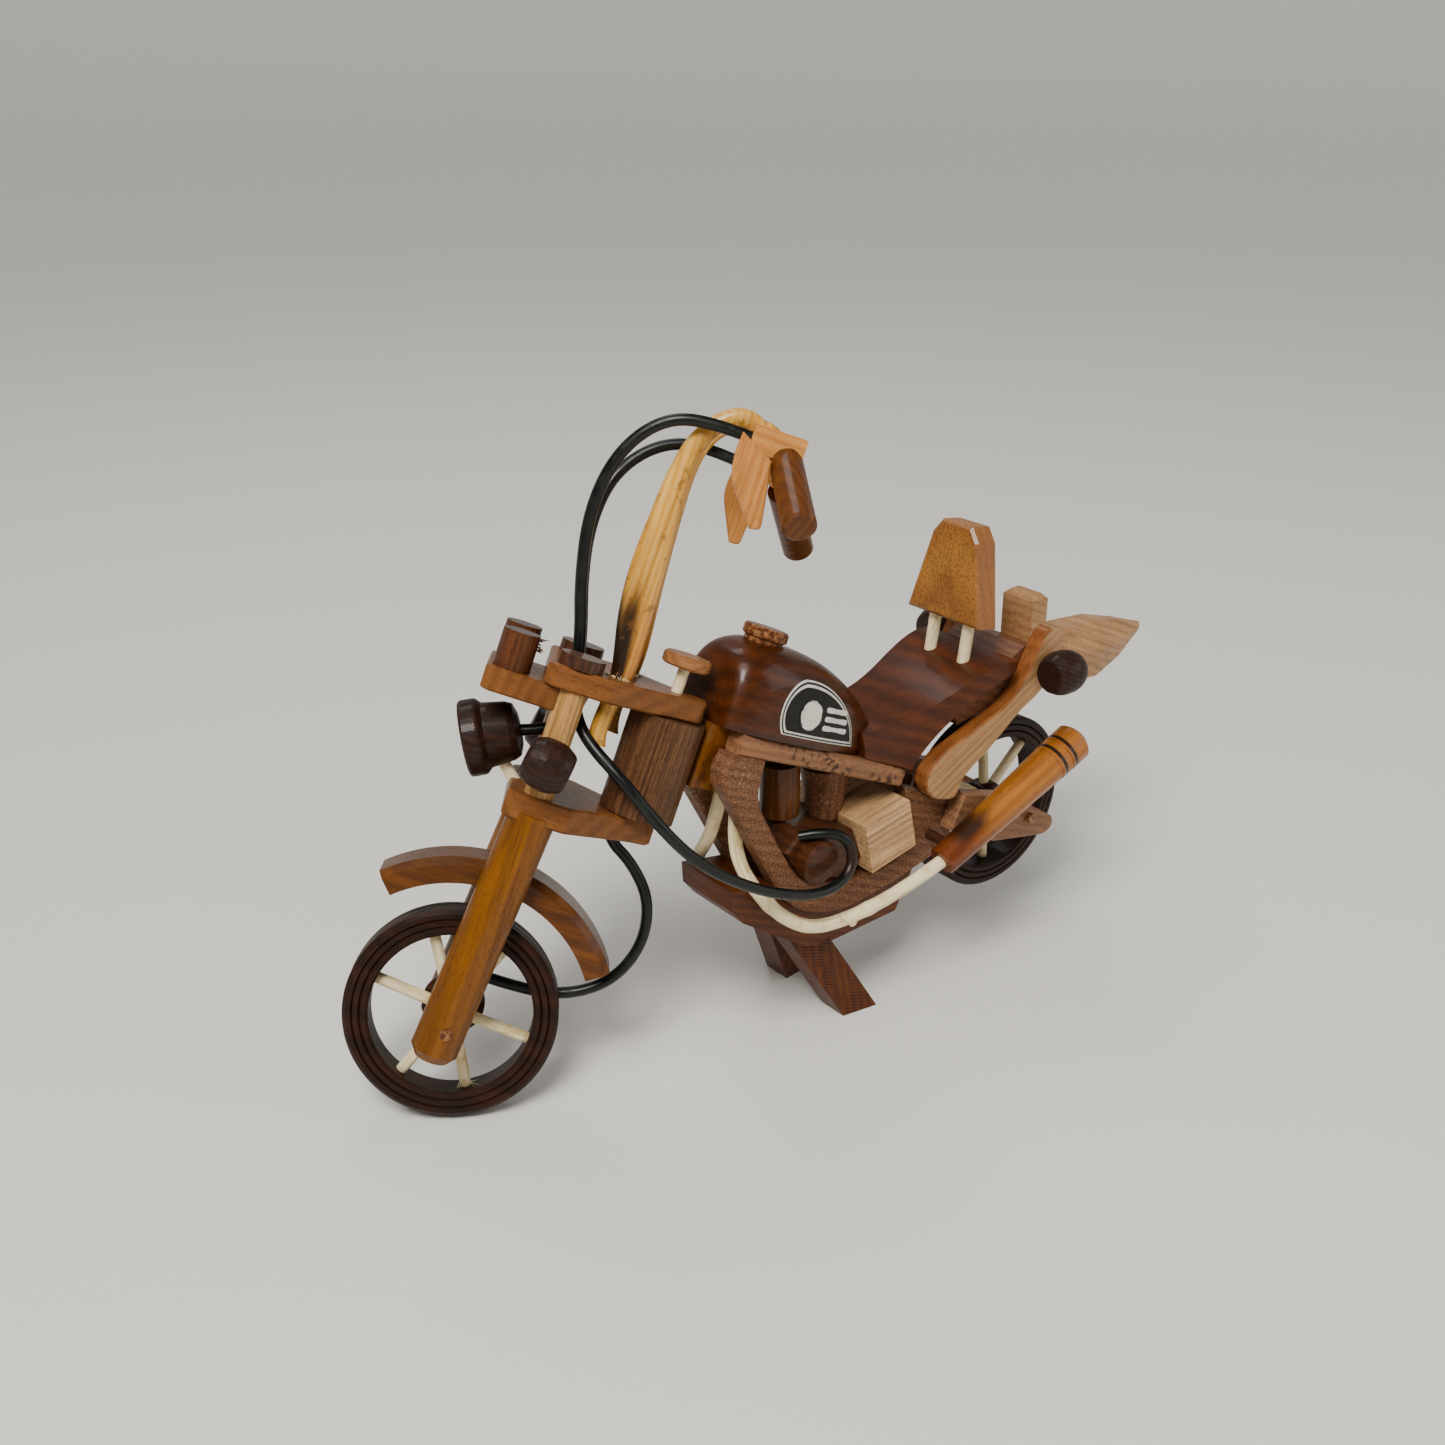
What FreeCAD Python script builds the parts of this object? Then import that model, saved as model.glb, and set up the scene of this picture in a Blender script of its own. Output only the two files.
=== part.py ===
"""Wooden chopper motorcycle, a hand-made desk model on its centre stand.

World frame: +Z up, the rider's forward is -X and the rider's left is -Y. The origin is on the table,
under the middle of the model's bounding box.

Two local frames carry nearly all of the pieces. HEAD has its origin on the steering axis at the top face
of the lower yoke, +Z up along the raked steering axis and +X rearward, in line with the upper rails. FORK
is the same frame turned about the steering axis by the angle the bars rest at.
"""
import math
import os

import FreeCAD
import Part
import Sketcher
from FreeCAD import Placement, Rotation, Vector

doc = FreeCAD.newDocument("wooden_chopper")
sheet = doc.addObject("Spreadsheet::Sheet", "sheet")

# Driving dimensions, in millimetres and degrees.
DIMENSIONS = [
    ("frame_x", 0.86, "model's centre plane and length, moved so the origin is under the bounding box"),
    ("frame_y", -2.44, "the same, across"),
    ("rake", 24.0, "lean of the steering axis back from vertical"),
    ("rest_turn", 35.0, "turn of the bars to the rider's right at rest"),
    ("head_x", -61.9, "steering axis at the lower yoke's top face"),
    ("head_z", 74.4, "height of that point above the table"),
    ("peg_r", 1.5, "rattan peg, the size used all over the model"),
    ("peg_bore_r", 1.56, "hole that a peg turns in"),
    # wheels
    ("wheel_r", 27.0, "both wheels"),
    ("rim_bore_r", 20.6, "inside of the turned rim"),
    ("front_rim_w", 9.0, "front rim, across"),
    ("rear_rim_w", 11.0, "rear rim, across"),
    ("groove", 0.5, "depth of the turned lines on the rims"),
    ("hub_r", 5.2, "hub, radius at its middle"),
    ("hub_w", 8.8, "hub, across"),
    ("spoke_count", 6.0, "rattan spokes in each wheel"),
    ("disc_r", 8.0, "front brake disc"),
    ("disc_t", 1.5, "front brake disc, thickness"),
    ("rear_axle_x", 65.8, "rear axle, behind the origin"),
    ("rear_axle_z", 41.4, "rear axle height: the stand lifts the wheel clear"),
    # fork
    ("fork_ahead", 25.0, "stanchions ahead of the steering axis"),
    ("fork_half", 12.5, "stanchions either side of the centre line"),
    ("stanchion_r", 3.65, "rattan stanchion"),
    ("leg_r", 6.0, "turned fork leg"),
    ("leg_length", 64.5, "fork leg"),
    ("leg_tilt", 4.5, "fork leg's extra lean ahead of the stanchion"),
    ("axle_drop", 55.78, "axle below the top of the fork leg, along the leg"),
    ("yoke_t", 6.5, "lower yoke, thickness"),
    ("yoke_front", 32.5, "front edge of both yokes ahead of the axis"),
    ("yoke_half", 17.5, "half width of both yokes"),
    ("tip_r", 5.6, "rounded rear tip of the lower yoke"),
    ("top_yoke_z", 26.8, "underside of the upper yoke"),
    ("top_yoke_t", 5.7, "upper yoke, thickness"),
    ("top_tip_r", 7.6, "rounded rear tip of the upper yoke"),
    ("head_r", 9.6, "steering head"),
    ("head_h", 26.2, "steering head, height"),
    ("knob_r", 6.2, "wooden knob on top of the steering peg"),
    ("knob_t", 3.2, "knob, thickness"),
    ("knob_z", 39.0, "underside of the knob"),
    ("gauge_r", 4.6, "gauge dowel"),
    ("gauge_h", 9.4, "gauge dowel, height"),
    ("gauge_half", 8.6, "gauges either side of the centre line"),
    ("gauge_ahead", 40.6, "gauges ahead of the axis"),
    ("gauge_plate_t", 6.0, "gauge plate, thickness"),
    ("gauge_plate_front", 46.4, "front of the gauge plate"),
    ("gauge_plate_half", 14.6, "half width of the gauge plate"),
    ("cap_r", 5.6, "bark-edged slice over each stanchion"),
    ("cap_t", 3.0, "slice, thickness"),
    ("guard_in_r", 34.8, "front mudguard, inside radius"),
    ("guard_out_r", 41.2, "front mudguard, outside radius"),
    ("guard_half", 7.0, "front mudguard, half width"),
    ("lamp_r", 9.6, "headlamp rim"),
    ("lamp_length", 14.0, "headlamp, front to back"),
    ("lamp_dish_r", 7.9, "headlamp's hollow, at the rim"),
    ("lamp_dish_depth", 3.0, "headlamp's hollow, depth"),
    ("signal_r", 6.3, "indicator barrel at its waist"),
    ("signal_end_r", 5.0, "indicator barrel at its ends"),
    ("signal_length", 11.0, "indicator barrel, fore and aft"),
    ("signal_out", 22.8, "front indicator, beside the steering axis"),
    # controls
    ("bar_half", 7.0, "handlebar feet either side of the centre line"),
    ("bar_splay", 1.8, "handlebar ends further out than their feet"),
    ("bracket_y", 10.5, "brackets either side of the centre line"),
    ("grip_r", 4.1, "grip dowel"),
    ("grip_length", 25.0, "grip dowel"),
    ("bracket_length", 13.0, "bracket at the end of the bar"),
    ("bracket_w", 8.4, "bracket, across"),
    ("bracket_h", 6.4, "bracket, height"),
    ("lever_t", 2.8, "carved lever, thickness"),
    ("cable_r", 1.5, "vinyl cord"),
    # chassis
    ("plate_t", 6.0, "side plate, thickness"),
    ("plate_gap", 14.0, "space between the side plates"),
    ("plate_top", 22.3, "top edge of the side plates"),
    ("rail_h", 5.6, "upper rail, height"),
    ("rail_start", 15.0, "front end of the upper rails"),
    ("rail_end", 77.0, "rear end of the upper rails"),
    ("nose_front", 8.0, "front of the nose block, behind the axis"),
    ("nose_back", 26.0, "back of the nose block"),
    ("nose_low", 11.0, "underside of the nose block"),
    ("tank_front", 9.6, "front of the tank behind the axis"),
    ("tank_length", 56.5, "tank"),
    ("tank_w", 30.0, "tank, width"),
    ("tank_h", 22.6, "tank, height"),
    ("tank_base", 28.0, "underside of the tank"),
    ("filler_r", 6.0, "filler cap"),
    ("filler_h", 4.6, "filler cap, height"),
    ("decal_t", 0.25, "printed label on the tank"),
    ("cylinder_r", 5.5, "front engine cylinder"),
    ("cylinder_h", 15.0, "front engine cylinder, height"),
    ("rear_cylinder_r", 7.0, "rear engine cylinder at its top"),
    ("rear_cylinder_low_r", 4.8, "rear engine cylinder at its foot"),
    ("box_length", 16.6, "air box and oil tank, along"),
    ("box_h", 15.2, "air box and oil tank, height"),
    ("box_depth", 15.6, "air box and oil tank, across"),
    ("box_tilt", -36.5, "air box and oil tank, turn against the rails"),
    ("clutch_r", 6.0, "clutch cover"),
    ("clutch_t", 4.6, "clutch cover, thickness"),
    ("pipe_r", 1.9, "rattan exhaust pipe"),
    ("muffler_length", 57.5, "muffler"),
    ("muffler_front_r", 4.3, "muffler at its front end"),
    ("muffler_rear_r", 5.8, "muffler at its tail"),
    ("muffler_y", 24.0, "muffler from the centre line"),
    ("seat_w", 35.0, "seat, width at the back"),
    ("seat_front_w", 25.0, "seat, width at the front"),
    ("backrest_h", 27.0, "backrest"),
    ("backrest_w", 28.0, "backrest, width at the bottom"),
    ("backrest_top_w", 13.0, "backrest, width at the top"),
    ("backrest_t", 8.0, "backrest, thickness"),
    ("strut_t", 5.0, "tail strut, thickness"),
    ("swingarm_t", 5.0, "swing arm, thickness"),
    ("stand_w", 10.0, "centre stand board, thickness"),
]
for row, (alias, number, note) in enumerate(DIMENSIONS, start=1):
    sheet.set(f"A{row}", alias)
    sheet.set(f"B{row}", str(number))
    sheet.set(f"C{row}", note)
    sheet.setAlias(f"B{row}", alias)
doc.recompute()


class Dim:
    """A dimension that knows its number and the expression that keeps it tied to the sheet."""

    def __init__(self, number, text):
        self.number, self.text = number, text

    @staticmethod
    def of(other):
        return other if isinstance(other, Dim) else Dim(float(other), repr(float(other)))

    def combine(self, other, sign, flip=False):
        a, b = (Dim.of(other), self) if flip else (self, Dim.of(other))
        results = {"+": a.number + b.number, "-": a.number - b.number, "*": a.number * b.number}
        return Dim(results[sign], f"({a.text} {sign} {b.text})")

    def __add__(self, other):
        return self.combine(other, "+")

    def __radd__(self, other):
        return self.combine(other, "+", True)

    def __sub__(self, other):
        return self.combine(other, "-")

    def __rsub__(self, other):
        return self.combine(other, "-", True)

    def __mul__(self, other):
        return self.combine(other, "*")

    __rmul__ = __mul__

    def __neg__(self):
        return Dim(-self.number, f"(0 - {self.text})")

    def __float__(self):
        return self.number


def dim(alias):
    return Dim(float(getattr(sheet, alias)), f"sheet.{alias}")


def size(alias):
    return float(getattr(sheet, alias))


# Local frames.
WORLD = Placement(Vector(size("frame_x"), size("frame_y"), 0), Rotation())
HEAD = WORLD.multiply(Placement(Vector(size("head_x"), 0, size("head_z")), Rotation(Vector(0, 1, 0), size("rake"))))
FORK = HEAD.multiply(Placement(Vector(), Rotation(Vector(0, 0, 1), -size("rest_turn"))))
ALONG_Y = Rotation(Vector(1, 0, 0), -90)      # turns +Z to +Y
NO_TURN = Rotation()
SIDES = (("left", -1), ("right", 1))

parts = {}                                    # node name: document object


def at(frame, x, y, z, turn=NO_TURN):
    return frame.multiply(Placement(Vector(float(x), float(y), float(z)), turn))


def towards(direction):
    return Rotation(Vector(0, 0, 1), Vector(*direction))


def keep(node, obj, placement=None):
    obj.Label = node
    if placement is not None:
        obj.Placement = placement
    parts[node] = obj
    return obj


# ---------------------------------------------------------------- primitives and booleans
def bind(obj, **properties):
    for name, value in properties.items():
        if isinstance(value, Dim):
            obj.setExpression(name, value.text)
        setattr(obj, name, float(value))


def cylinder(name, radius, height, placement):
    obj = doc.addObject("Part::Cylinder", name)
    bind(obj, Radius=radius, Height=height)
    obj.Placement = placement
    return obj


def cone(name, foot, top, height, placement):
    obj = doc.addObject("Part::Cone", name)
    bind(obj, Radius1=foot, Radius2=top, Height=height)
    obj.Placement = placement
    return obj


def box(name, length, width, height, placement):
    obj = doc.addObject("Part::Box", name)
    bind(obj, Length=length, Width=width, Height=height)
    obj.Placement = placement
    return obj


def cut(name, base, tools):
    tool = tools[0] if len(tools) == 1 else gather(f"{name}_tools", tools)
    obj = doc.addObject("Part::Cut", name)
    obj.Base, obj.Tool = base, tool
    return obj


def gather(name, pieces):
    obj = doc.addObject("Part::Compound", name)
    obj.Links = pieces
    return obj


# ---------------------------------------------------------------- bodies from sketches
def origin_plane(body, role):
    return next(o for o in body.Origin.OriginFeatures if o.Role == role)


def sketch_outline(body, name, plane, corners, circles=(), rounded=()):
    """A closed outline through corners, tied to the sheet, and round holes given as (x, y, r).

    A corner whose number is in rounded becomes an arc as large as its two sides allow."""
    sketch = body.newObject("Sketcher::SketchObject", name)
    sketch.AttachmentSupport = [(origin_plane(body, plane), "")]
    sketch.MapMode = "FlatFace"
    count = len(corners)
    flat = [Vector(float(x), float(y), 0) for x, y in corners]
    entry, leave, radius = list(flat), list(flat), {}
    for i in rounded:
        back, ahead = flat[i - 1] - flat[i], flat[(i + 1) % count] - flat[i]
        reach = 0.45 * min(back.Length, ahead.Length)
        entry[i] = flat[i] + back.normalize() * reach
        leave[i] = flat[i] + ahead.normalize() * reach
        radius[i] = reach * math.tan(back.getAngle(ahead) / 2)
    ends = []                                 # (geometry, number of its first end, of its last end)
    for i in range(count):
        after = (i + 1) % count
        g = sketch.addGeometry(Part.LineSegment(leave[i], entry[after]))
        ends.append((g, 1, 2))
        fix_point(sketch, g, 1, *((leave[i].x, leave[i].y) if i in radius else corners[i]))
        if after in radius:
            fix_point(sketch, g, 2, entry[after].x, entry[after].y)
            a, b, corner = entry[after], leave[after], flat[after]
            inward = ((a + b) * 0.5 - corner).normalize()
            centre = corner + inward * math.hypot(radius[after], corner.distanceToPoint(a))
            arc = sketch.addGeometry(Part.Arc(a, centre - inward * radius[after], b))
            left_turn = (corner - a).cross(b - corner).z > 0
            ends.append((arc, 1, 2) if left_turn else (arc, 2, 1))
            sketch.addConstraint(Sketcher.Constraint("Radius", arc, radius[after]))
    for (g, _, last), (following, first, _) in zip(ends, ends[1:] + ends[:1]):
        sketch.addConstraint(Sketcher.Constraint("Coincident", g, last, following, first))
    for x, y, r in circles:
        g = sketch.addGeometry(Part.Circle(Vector(float(x), float(y), 0), Vector(0, 0, 1), float(r)))
        fix_point(sketch, g, 3, x, y)
        tie(sketch, sketch.addConstraint(Sketcher.Constraint("Radius", g, float(r))), r)
    return sketch


def fix_point(sketch, geometry, end, x, y):
    for kind, value in (("DistanceX", x), ("DistanceY", y)):
        index = sketch.addConstraint(Sketcher.Constraint(kind, geometry, end, float(value)))
        tie(sketch, index, value)


def tie(sketch, index, value):
    if isinstance(value, Dim):
        sketch.setExpression(f"Constraints[{index}]", value.text)


def slab(name, plane, corners, thickness, circles=(), rounded=(), bevel=0.0, both_ways=True):
    """A board cut to an outline, with the edges of its two faces broken by bevel."""
    body = doc.addObject("PartDesign::Body", name)
    sketch = sketch_outline(body, f"{name}_outline", plane, corners, circles, rounded)
    pad = body.newObject("PartDesign::Pad", f"{name}_pad")
    pad.Profile = sketch
    bind(pad, Length=thickness)
    pad.Midplane = both_ways
    if bevel:
        doc.recompute()
        chamfer = body.newObject("PartDesign::Chamfer", f"{name}_bevel")
        chamfer.Base = (pad, outline_faces(pad.Shape, plane))
        chamfer.Size = bevel
    return body


def outline_faces(shape, plane):
    """Names of the two flat faces that the sketch outline bounds."""
    names = []
    for number, face in enumerate(shape.Faces, start=1):
        normal = face.normalAt(0, 0)
        across = normal.z if plane == "XY_Plane" else normal.y
        if abs(abs(across) - 1) < 1e-6:
            names.append(f"Face{number}")
    return names


def turned(name, profile):
    """A piece turned on a lathe about its own Z axis, from a closed (radius, height) profile."""
    body = doc.addObject("PartDesign::Body", name)
    sketch = sketch_outline(body, f"{name}_profile", "XZ_Plane", profile)
    turn = body.newObject("PartDesign::Revolution", f"{name}_turn")
    turn.Profile = sketch
    turn.ReferenceAxis = (sketch, ["V_Axis"])
    turn.Angle = 360
    return body


# ---------------------------------------------------------------- bent rods and cords
def rounded_path(points, label):
    """Straight runs joined by tangent arcs, each as large as its two runs allow."""
    pts = [Vector(*map(float, p)) for p in points]
    edges, start, radii = [], pts[0], []
    for before, corner, after in zip(pts, pts[1:], pts[2:]):
        back, ahead = (before - corner), (after - corner)
        run = min(back.Length, ahead.Length)
        back.normalize(), ahead.normalize()
        half_turn = (math.pi - back.getAngle(ahead)) / 2
        reach = 0.45 * run
        radii.append(round(reach / math.tan(half_turn), 1))
        a, b = corner + back * reach, corner + ahead * reach
        middle = (back + ahead).normalize()
        gap = reach / math.cos(math.pi / 2 - half_turn) if half_turn else 0
        radius = reach / math.tan(half_turn)
        centre = corner + middle * math.hypot(radius, reach)
        edges += [Part.LineSegment(start, a).toShape(), Part.Arc(a, centre - middle * radius, b).toShape()]
        start = b
    edges.append(Part.LineSegment(start, pts[-1]).toShape())
    print(f"{label}: arc radii {radii}")
    return Part.Wire(edges)


def rod(points, radius, label):
    path = rounded_path(points, label)
    first = path.Edges[0]
    ring = Part.Wire(Part.makeCircle(radius, first.firstVertex().Point, first.tangentAt(first.FirstParameter)))
    solid = path.makePipeShell([ring], True, False)
    expected = math.pi * radius ** 2 * path.Length
    print(f"{label}: length {path.Length:.1f} mm, volume {solid.Volume / expected:.3f} of section x length")
    return solid


def feature(name, shape):
    obj = doc.addObject("Part::Feature", name)
    obj.Shape = shape
    return obj


# ================================================================ chassis
plate_y = dim("plate_gap") * 0.5 + dim("plate_t") * 0.5      # middle of each side plate
top = dim("plate_top")
PLATE = [                                                    # x behind the axis, z along it
    (12.6, top), (11.8, 17.4), (13.4, 13.4), (31.0, -0.4), (49.0, -14.6), (61.0, -17.3), (73.0, -14.6),
    (88.0, -5.6), (101.5, 4.7), (105.0, 10.5), (105.0, top), (80.2, top), (87.3, 8.6), (86.4, 2.0),
    (71.6, -6.6), (52.6, -8.6), (42.4, -1.6), (26.4, 11.6), (25.0, top),
]
plates = {}
for side, sign in SIDES:
    plate = slab(f"side_board_{side}", "XZ_Plane", PLATE, dim("plate_t"),
                 rounded=(3, 4, 5, 6, 7, 8, 9, 12, 13, 14, 15, 16, 17), bevel=0.7)
    plate.Placement = at(HEAD, 0, sign * plate_y, 0)
    plates[side] = plate

nose_h = dim("plate_top") + dim("rail_h") - dim("nose_low")
nose = box("nose_blank", dim("nose_back") - dim("nose_front"), dim("plate_gap"), nose_h,
           at(HEAD, dim("nose_front"), -dim("plate_gap") * 0.5, dim("nose_low")))
socket = cylinder("nose_socket", dim("head_r"), dim("head_h") + 20, at(HEAD, 0, 0, -5))
cove = cylinder("nose_cove", 3.2, 60, at(HEAD, dim("nose_back") - 1.5, -30, dim("nose_low") + 1.0, ALONG_Y))
keep("frame_nose", cut("frame_nose", nose, [socket, cove]))

head = cylinder("head_blank", dim("head_r"), dim("head_h"), at(HEAD, 0, 0, 0.3))
keep("head_block", cut("head_block", head, [cylinder("head_bore", dim("peg_bore_r"), 40, at(HEAD, 0, 0, -5))]))

rails = [box(f"rail_{side}", dim("rail_end") - dim("rail_start"), dim("plate_t"), dim("rail_h"),
             at(HEAD, dim("rail_start"), sign * plate_y - dim("plate_t") * 0.5, top)) for side, sign in SIDES]
for rail in rails:
    doc.recompute()
    eased = doc.addObject("Part::Fillet", rail.Name + "_eased")
    eased.Base = rail
    eased.Edges = [(i + 1, 1.2, 1.2) for i, e in enumerate(rail.Shape.Edges)
                   if abs(e.tangentAt(0).dot(HEAD.Rotation.multVec(Vector(1, 0, 0)))) > 0.99]
keep("upper_rails", gather("upper_rails", [doc.getObject(r.Name + "_eased") for r in rails]))


# ---- fuel tank: a teardrop, full at the front and falling away to the seat
def tank_share(t, peak, start, end):
    """Share of the full width or height at t, which runs from 0 at the front to 1 at the rear."""
    if t < peak:
        return start + (1 - start) * (1 - (1 - t / peak) ** 2.6) ** (1 / 2.0)
    return 1 - (1 - end) * ((t - peak) / (1 - peak)) ** 2.1


def tank_shape(grow=0.0):
    wires = []
    for t in (0.0, 0.035, 0.1, 0.2, 0.32, 0.46, 0.6, 0.74, 0.87, 0.955, 1.0):
        half = size("tank_w") / 2 * tank_share(t, 0.36, 0.60, 0.50) + grow
        tall = size("tank_h") * tank_share(t, 0.30, 0.66, 0.36) + grow
        if t == 1.0:
            half, tall = half * 0.93, tall * 0.90
        x = size("tank_front") + size("tank_length") * t
        points = []
        for k in range(17):
            a = math.pi * k / 16
            c, s_ = math.cos(a), math.sin(a)
            points.append(Vector(x, half * math.copysign(abs(c) ** 0.62, c),
                                 size("tank_base") + 2.2 + (tall - 2.2) * s_ ** 0.74))
        bow = Part.BSplineCurve()
        bow.interpolate(points)
        left, right = points[-1], points[0]
        base = [Vector(x, p.y * 0.93, size("tank_base")) for p in (left, right)]
        sides = [Part.LineSegment(left, base[0]), Part.LineSegment(base[0], base[1]),
                 Part.LineSegment(base[1], right)]
        wires.append(Part.Wire([bow.toShape()] + [s.toShape() for s in sides]))
    return Part.makeLoft(wires, True, False)


tank = tank_shape()
keep("tank", feature("tank", tank), HEAD)
filler_x, filler_z = size("tank_front") + 12.6, size("tank_base") + size("tank_h") - 1.2
filler = turned("tank_cap", [(0, 0), (dim("filler_r") - 1.0, 0), (dim("filler_r") - 0.8, dim("filler_h") - 3.0),
                             (dim("filler_r"), dim("filler_h") - 2.6), (dim("filler_r"), dim("filler_h") - 0.5),
                             (dim("filler_r") - 0.5, dim("filler_h")), (0, dim("filler_h"))])
keep("tank_cap", filler, at(HEAD, filler_x, 0, filler_z))


def label_outline():
    """Half-teardrop: a straight lower edge along the rail, an arched top and a rounded nose."""
    lower = (Vector(24.5, 0, 30.4), Vector(53.5, 0, 30.4))
    edges = [Part.LineSegment(*lower).toShape(),
             Part.Arc(lower[1], Vector(47.5, 0, 39.0), Vector(29.0, 0, 45.0)).toShape(),
             Part.Arc(Vector(29.0, 0, 45.0), Vector(22.6, 0, 38.0), lower[0]).toShape()]
    return Part.Face(Part.Wire(edges))


skin = tank_shape(size("decal_t")).cut(tank)
labels = []
for side, sign in SIDES:
    prism = label_outline().extrude(Vector(0, sign * 40, 0))
    piece = skin.common(prism)
    labels.append(max(piece.Solids, key=lambda s: s.Volume))
keep("tank_decals", feature("tank_decals", Part.makeCompound(labels)), HEAD)

# ---- engine
crank = slab("crankcase", "XZ_Plane", [(44.0, -1.6), (52.8, -8.0), (71.0, -6.0), (73.4, 1.0), (66.0, 8.0),
                                       (47.0, 5.4)], 24.0, bevel=0.8)
keep("crankcase", crank, HEAD)
upright = Rotation(Vector(0, 1, 0), -size("rake"))            # stands a HEAD piece vertical
keep("front_cylinder", cylinder("front_cylinder", dim("cylinder_r"), dim("cylinder_h"),
                                at(HEAD, 48.6, 0, 6.6, upright)))
keep("rear_cylinder", cone("rear_cylinder", dim("rear_cylinder_low_r"), dim("rear_cylinder_r"), 15.4,
                           at(HEAD, 65.4, 0, 8.1, upright)))
tilt = Rotation(Vector(0, 1, 0), size("box_tilt"))
for node, sign in (("air_box", -1), ("oil_tank", 1)):
    edge = -dim("box_depth") - 0.6 if sign < 0 else Dim.of(0.6)
    side_box = box(f"{node}_block", dim("box_length"), dim("box_depth"), dim("box_h"),
                   at(HEAD, 74.6, edge, -2.2, tilt))
    keep(node, cut(node, side_box, [parts["rear_cylinder"], *plates.values()]))
cover = turned("clutch_drum", [(0, 0), (dim("clutch_r"), 0), (dim("clutch_r"), dim("clutch_t") - 0.8),
                                (dim("clutch_r") - 0.8, dim("clutch_t")), (0, dim("clutch_t"))])
cover.Placement = at(HEAD, 54.0, -12.0, -1.5, towards((0, -1, 0)))
keep("clutch_cover", cut("clutch_cover", cover, list(plates.values())))

# ---- exhausts: x, y for the right-hand side, z
PIPE = [(28.6, 3.4, 9.0), (30.6, 3.9, 1.0), (33.2, 7.0, -7.0), (37.2, 13.2, -12.8), (45.0, 17.6, -17.2),
        (55.5, 18.6, -19.0), (66.0, 19.2, -15.6), (76.0, 20.8, -9.0), (85.0, 22.8, -0.6), (92.2, 24.0, 7.0)]
pipes, mufflers, drilled = [], {}, {}
for side, sign in SIDES:
    pipes.append(rod([(x, sign * y, z) for x, y, z in PIPE], size("pipe_r"), f"exhaust pipe {side}"))
    rear, front = dim("muffler_rear_r"), dim("muffler_front_r")
    length = dim("muffler_length")
    line, lip = 0.7, 0.45                                     # two burnt lines near the tail
    muffler = turned(f"muffler_{side}", [
        (0, 0), (front - 0.5, 0), (front, 0.6), (rear - 0.2, length - 12.4), (rear - lip, length - 12.4 + line / 2),
        (rear - 0.1, length - 12.4 + line), (rear - 0.05, length - 8.0), (rear - lip, length - 8.0 + line / 2),
        (rear, length - 8.0 + line), (rear, length - 1.2), (rear - 1.2, length), (0, length)])
    mufflers[side] = muffler
    muffler.Placement = (at(HEAD, 91.4, sign * dim("muffler_y"), 6.0, towards((38.5, 0, 42.1))))
doc.recompute()
trimmed = [p.cut(m.Shape.transformed(HEAD.inverse().toMatrix())) for p, m in zip(pipes, mufflers.values())]
keep("exhaust_pipes", feature("exhaust_pipes", Part.makeCompound([max(t.Solids, key=lambda s: s.Volume)
                                                                  for t in trimmed])), HEAD)


# ---- seat: a saddle that sweeps up to its rear lip, hollowed at the front to fit round the tank
def curve_through(points):
    curve = Part.BSplineCurve()
    curve.interpolate([Vector(*p) for p in points])
    return curve.toShape()


def line(a, b):
    return Part.LineSegment(Vector(*a), Vector(*b)).toShape()


saddle_top = [(56.0, 0, 34.6), (63.0, 0, 37.4), (71.0, 0, 41.8), (78.5, 0, 47.6), (85.8, 0, 55.0),
              (92.5, 0, 61.0), (100.6, 0, 65.2)]
saddle_low = [(101.2, 0, 62.4), (94.9, 0, 56.2), (88.6, 0, 49.4), (82.6, 0, 40.6), (77.6, 0, 28.0)]
saddle_front = (60.5, 0, 28.0)
profile = Part.Wire([curve_through(saddle_top), line(saddle_top[-1], saddle_low[0]), curve_through(saddle_low),
                     line(saddle_low[-1], saddle_front), line(saddle_front, saddle_top[0])])
blank = Part.Face(profile).extrude(Vector(0, 50, 0)).translated(Vector(0, -25, 0))
half_front, half_back = size("seat_front_w") / 2, size("seat_w") / 2
flank = [(50, half_front - 0.6, 0), (62, half_front, 0), (76, half_front + 1.4, 0), (90, half_back - 0.6, 0),
         (106, half_back, 0)]
mirror = [(x, -y, z) for x, y, z in reversed(flank)]
plan = Part.Wire([curve_through(flank), line(flank[-1], mirror[0]), curve_through(mirror),
                  line(mirror[-1], flank[0])])
saddle = blank.common(Part.Face(plan).extrude(Vector(0, 0, 90))).cut(tank_shape(0.05))
saddle_node = feature("seat_carved", max(saddle.Solids, key=lambda s: s.Volume))
saddle_node.Placement = HEAD
prop_x = 46.6
props = [cylinder(f"backrest_peg_{side}", 1.75, 20.0,
                  at(WORLD, prop_x - 0.9, sign * 6.5, 88.4, towards((0.147, 0, 1)))) for side, sign in SIDES]
keep("backrest_pegs", gather("backrest_pegs", props))
keep("seat", cut("seat", saddle_node, [parts["backrest_pegs"]]))

lean = Vector(0.147, 0, 1).normalize()
upright_board = Rotation(Vector(0, 1, 0), lean, Vector(0, 1, 0).cross(lean), "ZXY")
low, high = dim("backrest_w") * 0.5, dim("backrest_top_w") * 0.5
rest = slab("backrest_board", "XY_Plane",
            [(-low, 0), (low, 0), (high + 2.2, dim("backrest_h") - 4.0), (high - 0.9, dim("backrest_h")),
             (-high + 0.9, dim("backrest_h")), (-high - 2.2, dim("backrest_h") - 4.0)],
            dim("backrest_t"), bevel=0.8, both_ways=False)
rest.Placement = at(WORLD, 43.2, 0, 103.7, upright_board)
keep("backrest", cut("backrest", rest, [parts["backrest_pegs"]]))

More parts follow.
